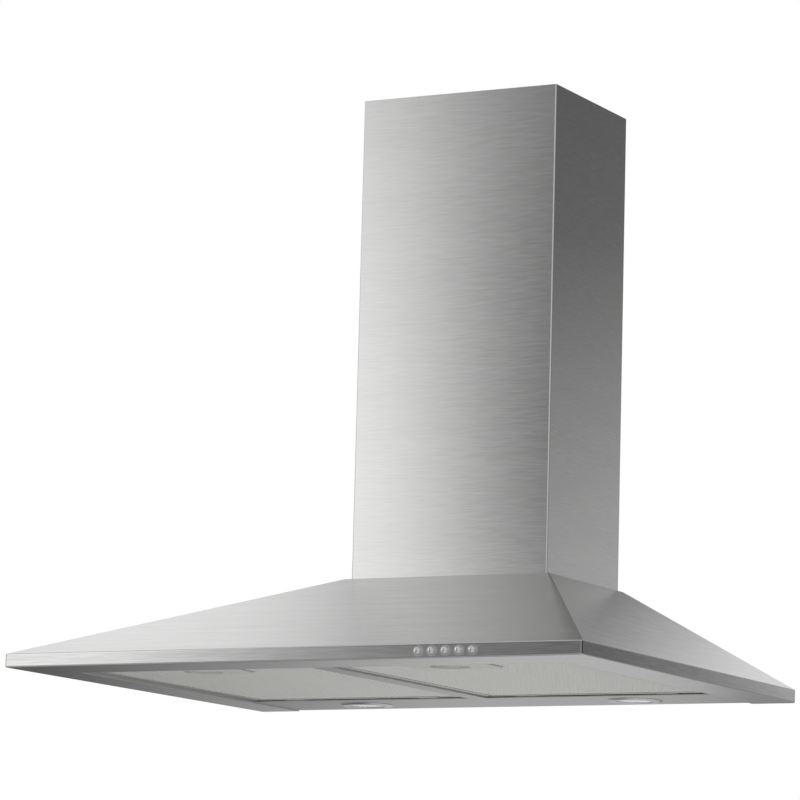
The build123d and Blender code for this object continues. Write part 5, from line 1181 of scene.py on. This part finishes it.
def crimped(low, height):
    """Heights of an inner layer, crimped so that the layers stand apart."""
    return lambda x, y: low.z + height + CRIMP_DEPTH * math.sin(x * 2 * math.pi / CRIMP_PITCH)


for end in ("left", "right"):
    dress(frame_aluminium, "filter_frame_" + end)
    low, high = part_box("filter_frame_" + end)
    # The mitres' dark lines are painted shadow: thin near-black strips at the frame's corners stand in
    # for the shade in the joints.
    mitres = bmesh.new()
    for x, inward_x in ((low.x, 1), (high.x, -1)):
        for y, inward_y in ((low.y, 1), (low.y + FRAME_DEPTH, -1)):
            aslant = Vector((inward_x, inward_y, 0)).normalized()
            beside = Vector((-aslant.y, aslant.x, 0)) * MITRE_HALF
            near = Vector((x, y, 0)) + aslant * MITRE_START
            far = Vector((x, y, 0)) + aslant * (FRAME_LIP * math.sqrt(2) - MITRE_SHORT)
            outline = (near - beside, near + beside, far + beside, far - beside)
            skin(
                mitres,
                [
                    [mitres.verts.new((p.x, p.y, z)) for p in outline]
                    for z in (low.z - MITRE_PROUD, low.z + MITRE_SUNK)
                ],
            )
    piece("filter_mitre_shadows_" + end, mitres, "filter_" + end, painted_joint_shadow, "filter_aluminium")
    low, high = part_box("filter_mesh_" + end)
    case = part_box("latch_case_" + end)
    layers = bmesh.new()
    for level, sizes, offset in (
        (sagging(low, high, 0.0), FINE_MESH, 0.0),
        (sagging(low, high, SKIN_STEP), FINE_MESH, 0.25),
        (crimped(low, LOWER_CORE), COARSE_MESH, 0.0),
        (crimped(low, UPPER_CORE), COARSE_MESH, 0.25),
        (lambda x, y: high.z - SKIN_STEP, FINE_MESH, 0.0),
    ):
        stretched_layer(layers, low, high, level, *sizes, offset, case)
    pad = bpy.data.meshes.new("pad")
    layers.to_mesh(pad)
    layers.free()
    replaced = "filter_mesh_" + end
    piece("filter_pad_" + end, pad, "filter_" + end, mesh_aluminium, "filter_mesh", replaced)

# Filter latches: grey moulded cases let into the pad behind the front lip, with a finger cup on
# a slider, its return spring and the steel tongue that grips the panel's edge.
latch_moulding = moulded("latch_plastic", (0.37, 0.37, 0.355), 0.5)
slider_moulding = moulded("slider_plastic", (0.365, 0.365, 0.35), 0.48)
spring_steel = zinc_plate("spring_steel", (0.55, 0.55, 0.55))
SPRING_WIRE = 0.00024
SPRING_TURNS = 5.5
for end in ("left", "right"):
    dress(latch_moulding, "latch_case_" + end)
    dress(slider_moulding, "latch_slider_" + end)
    dress(spring_steel, "latch_tongue_" + end)
    name = "latch_spring_" + end
    low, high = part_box(name)
    middle = (low + high) / 2
    radius = (high.z - low.z) / 2 - SPRING_WIRE
    length = high.y - low.y
    start = (middle.x, low.y, middle.z)
    coil = bmesh.new()
    helix(coil, start, (0, 1, 0), radius, SPRING_WIRE, length, SPRING_TURNS)
    made = piece("latch_coil_" + end, coil, "filter_" + end, spring_steel, "spring_steel", name)
    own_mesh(made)
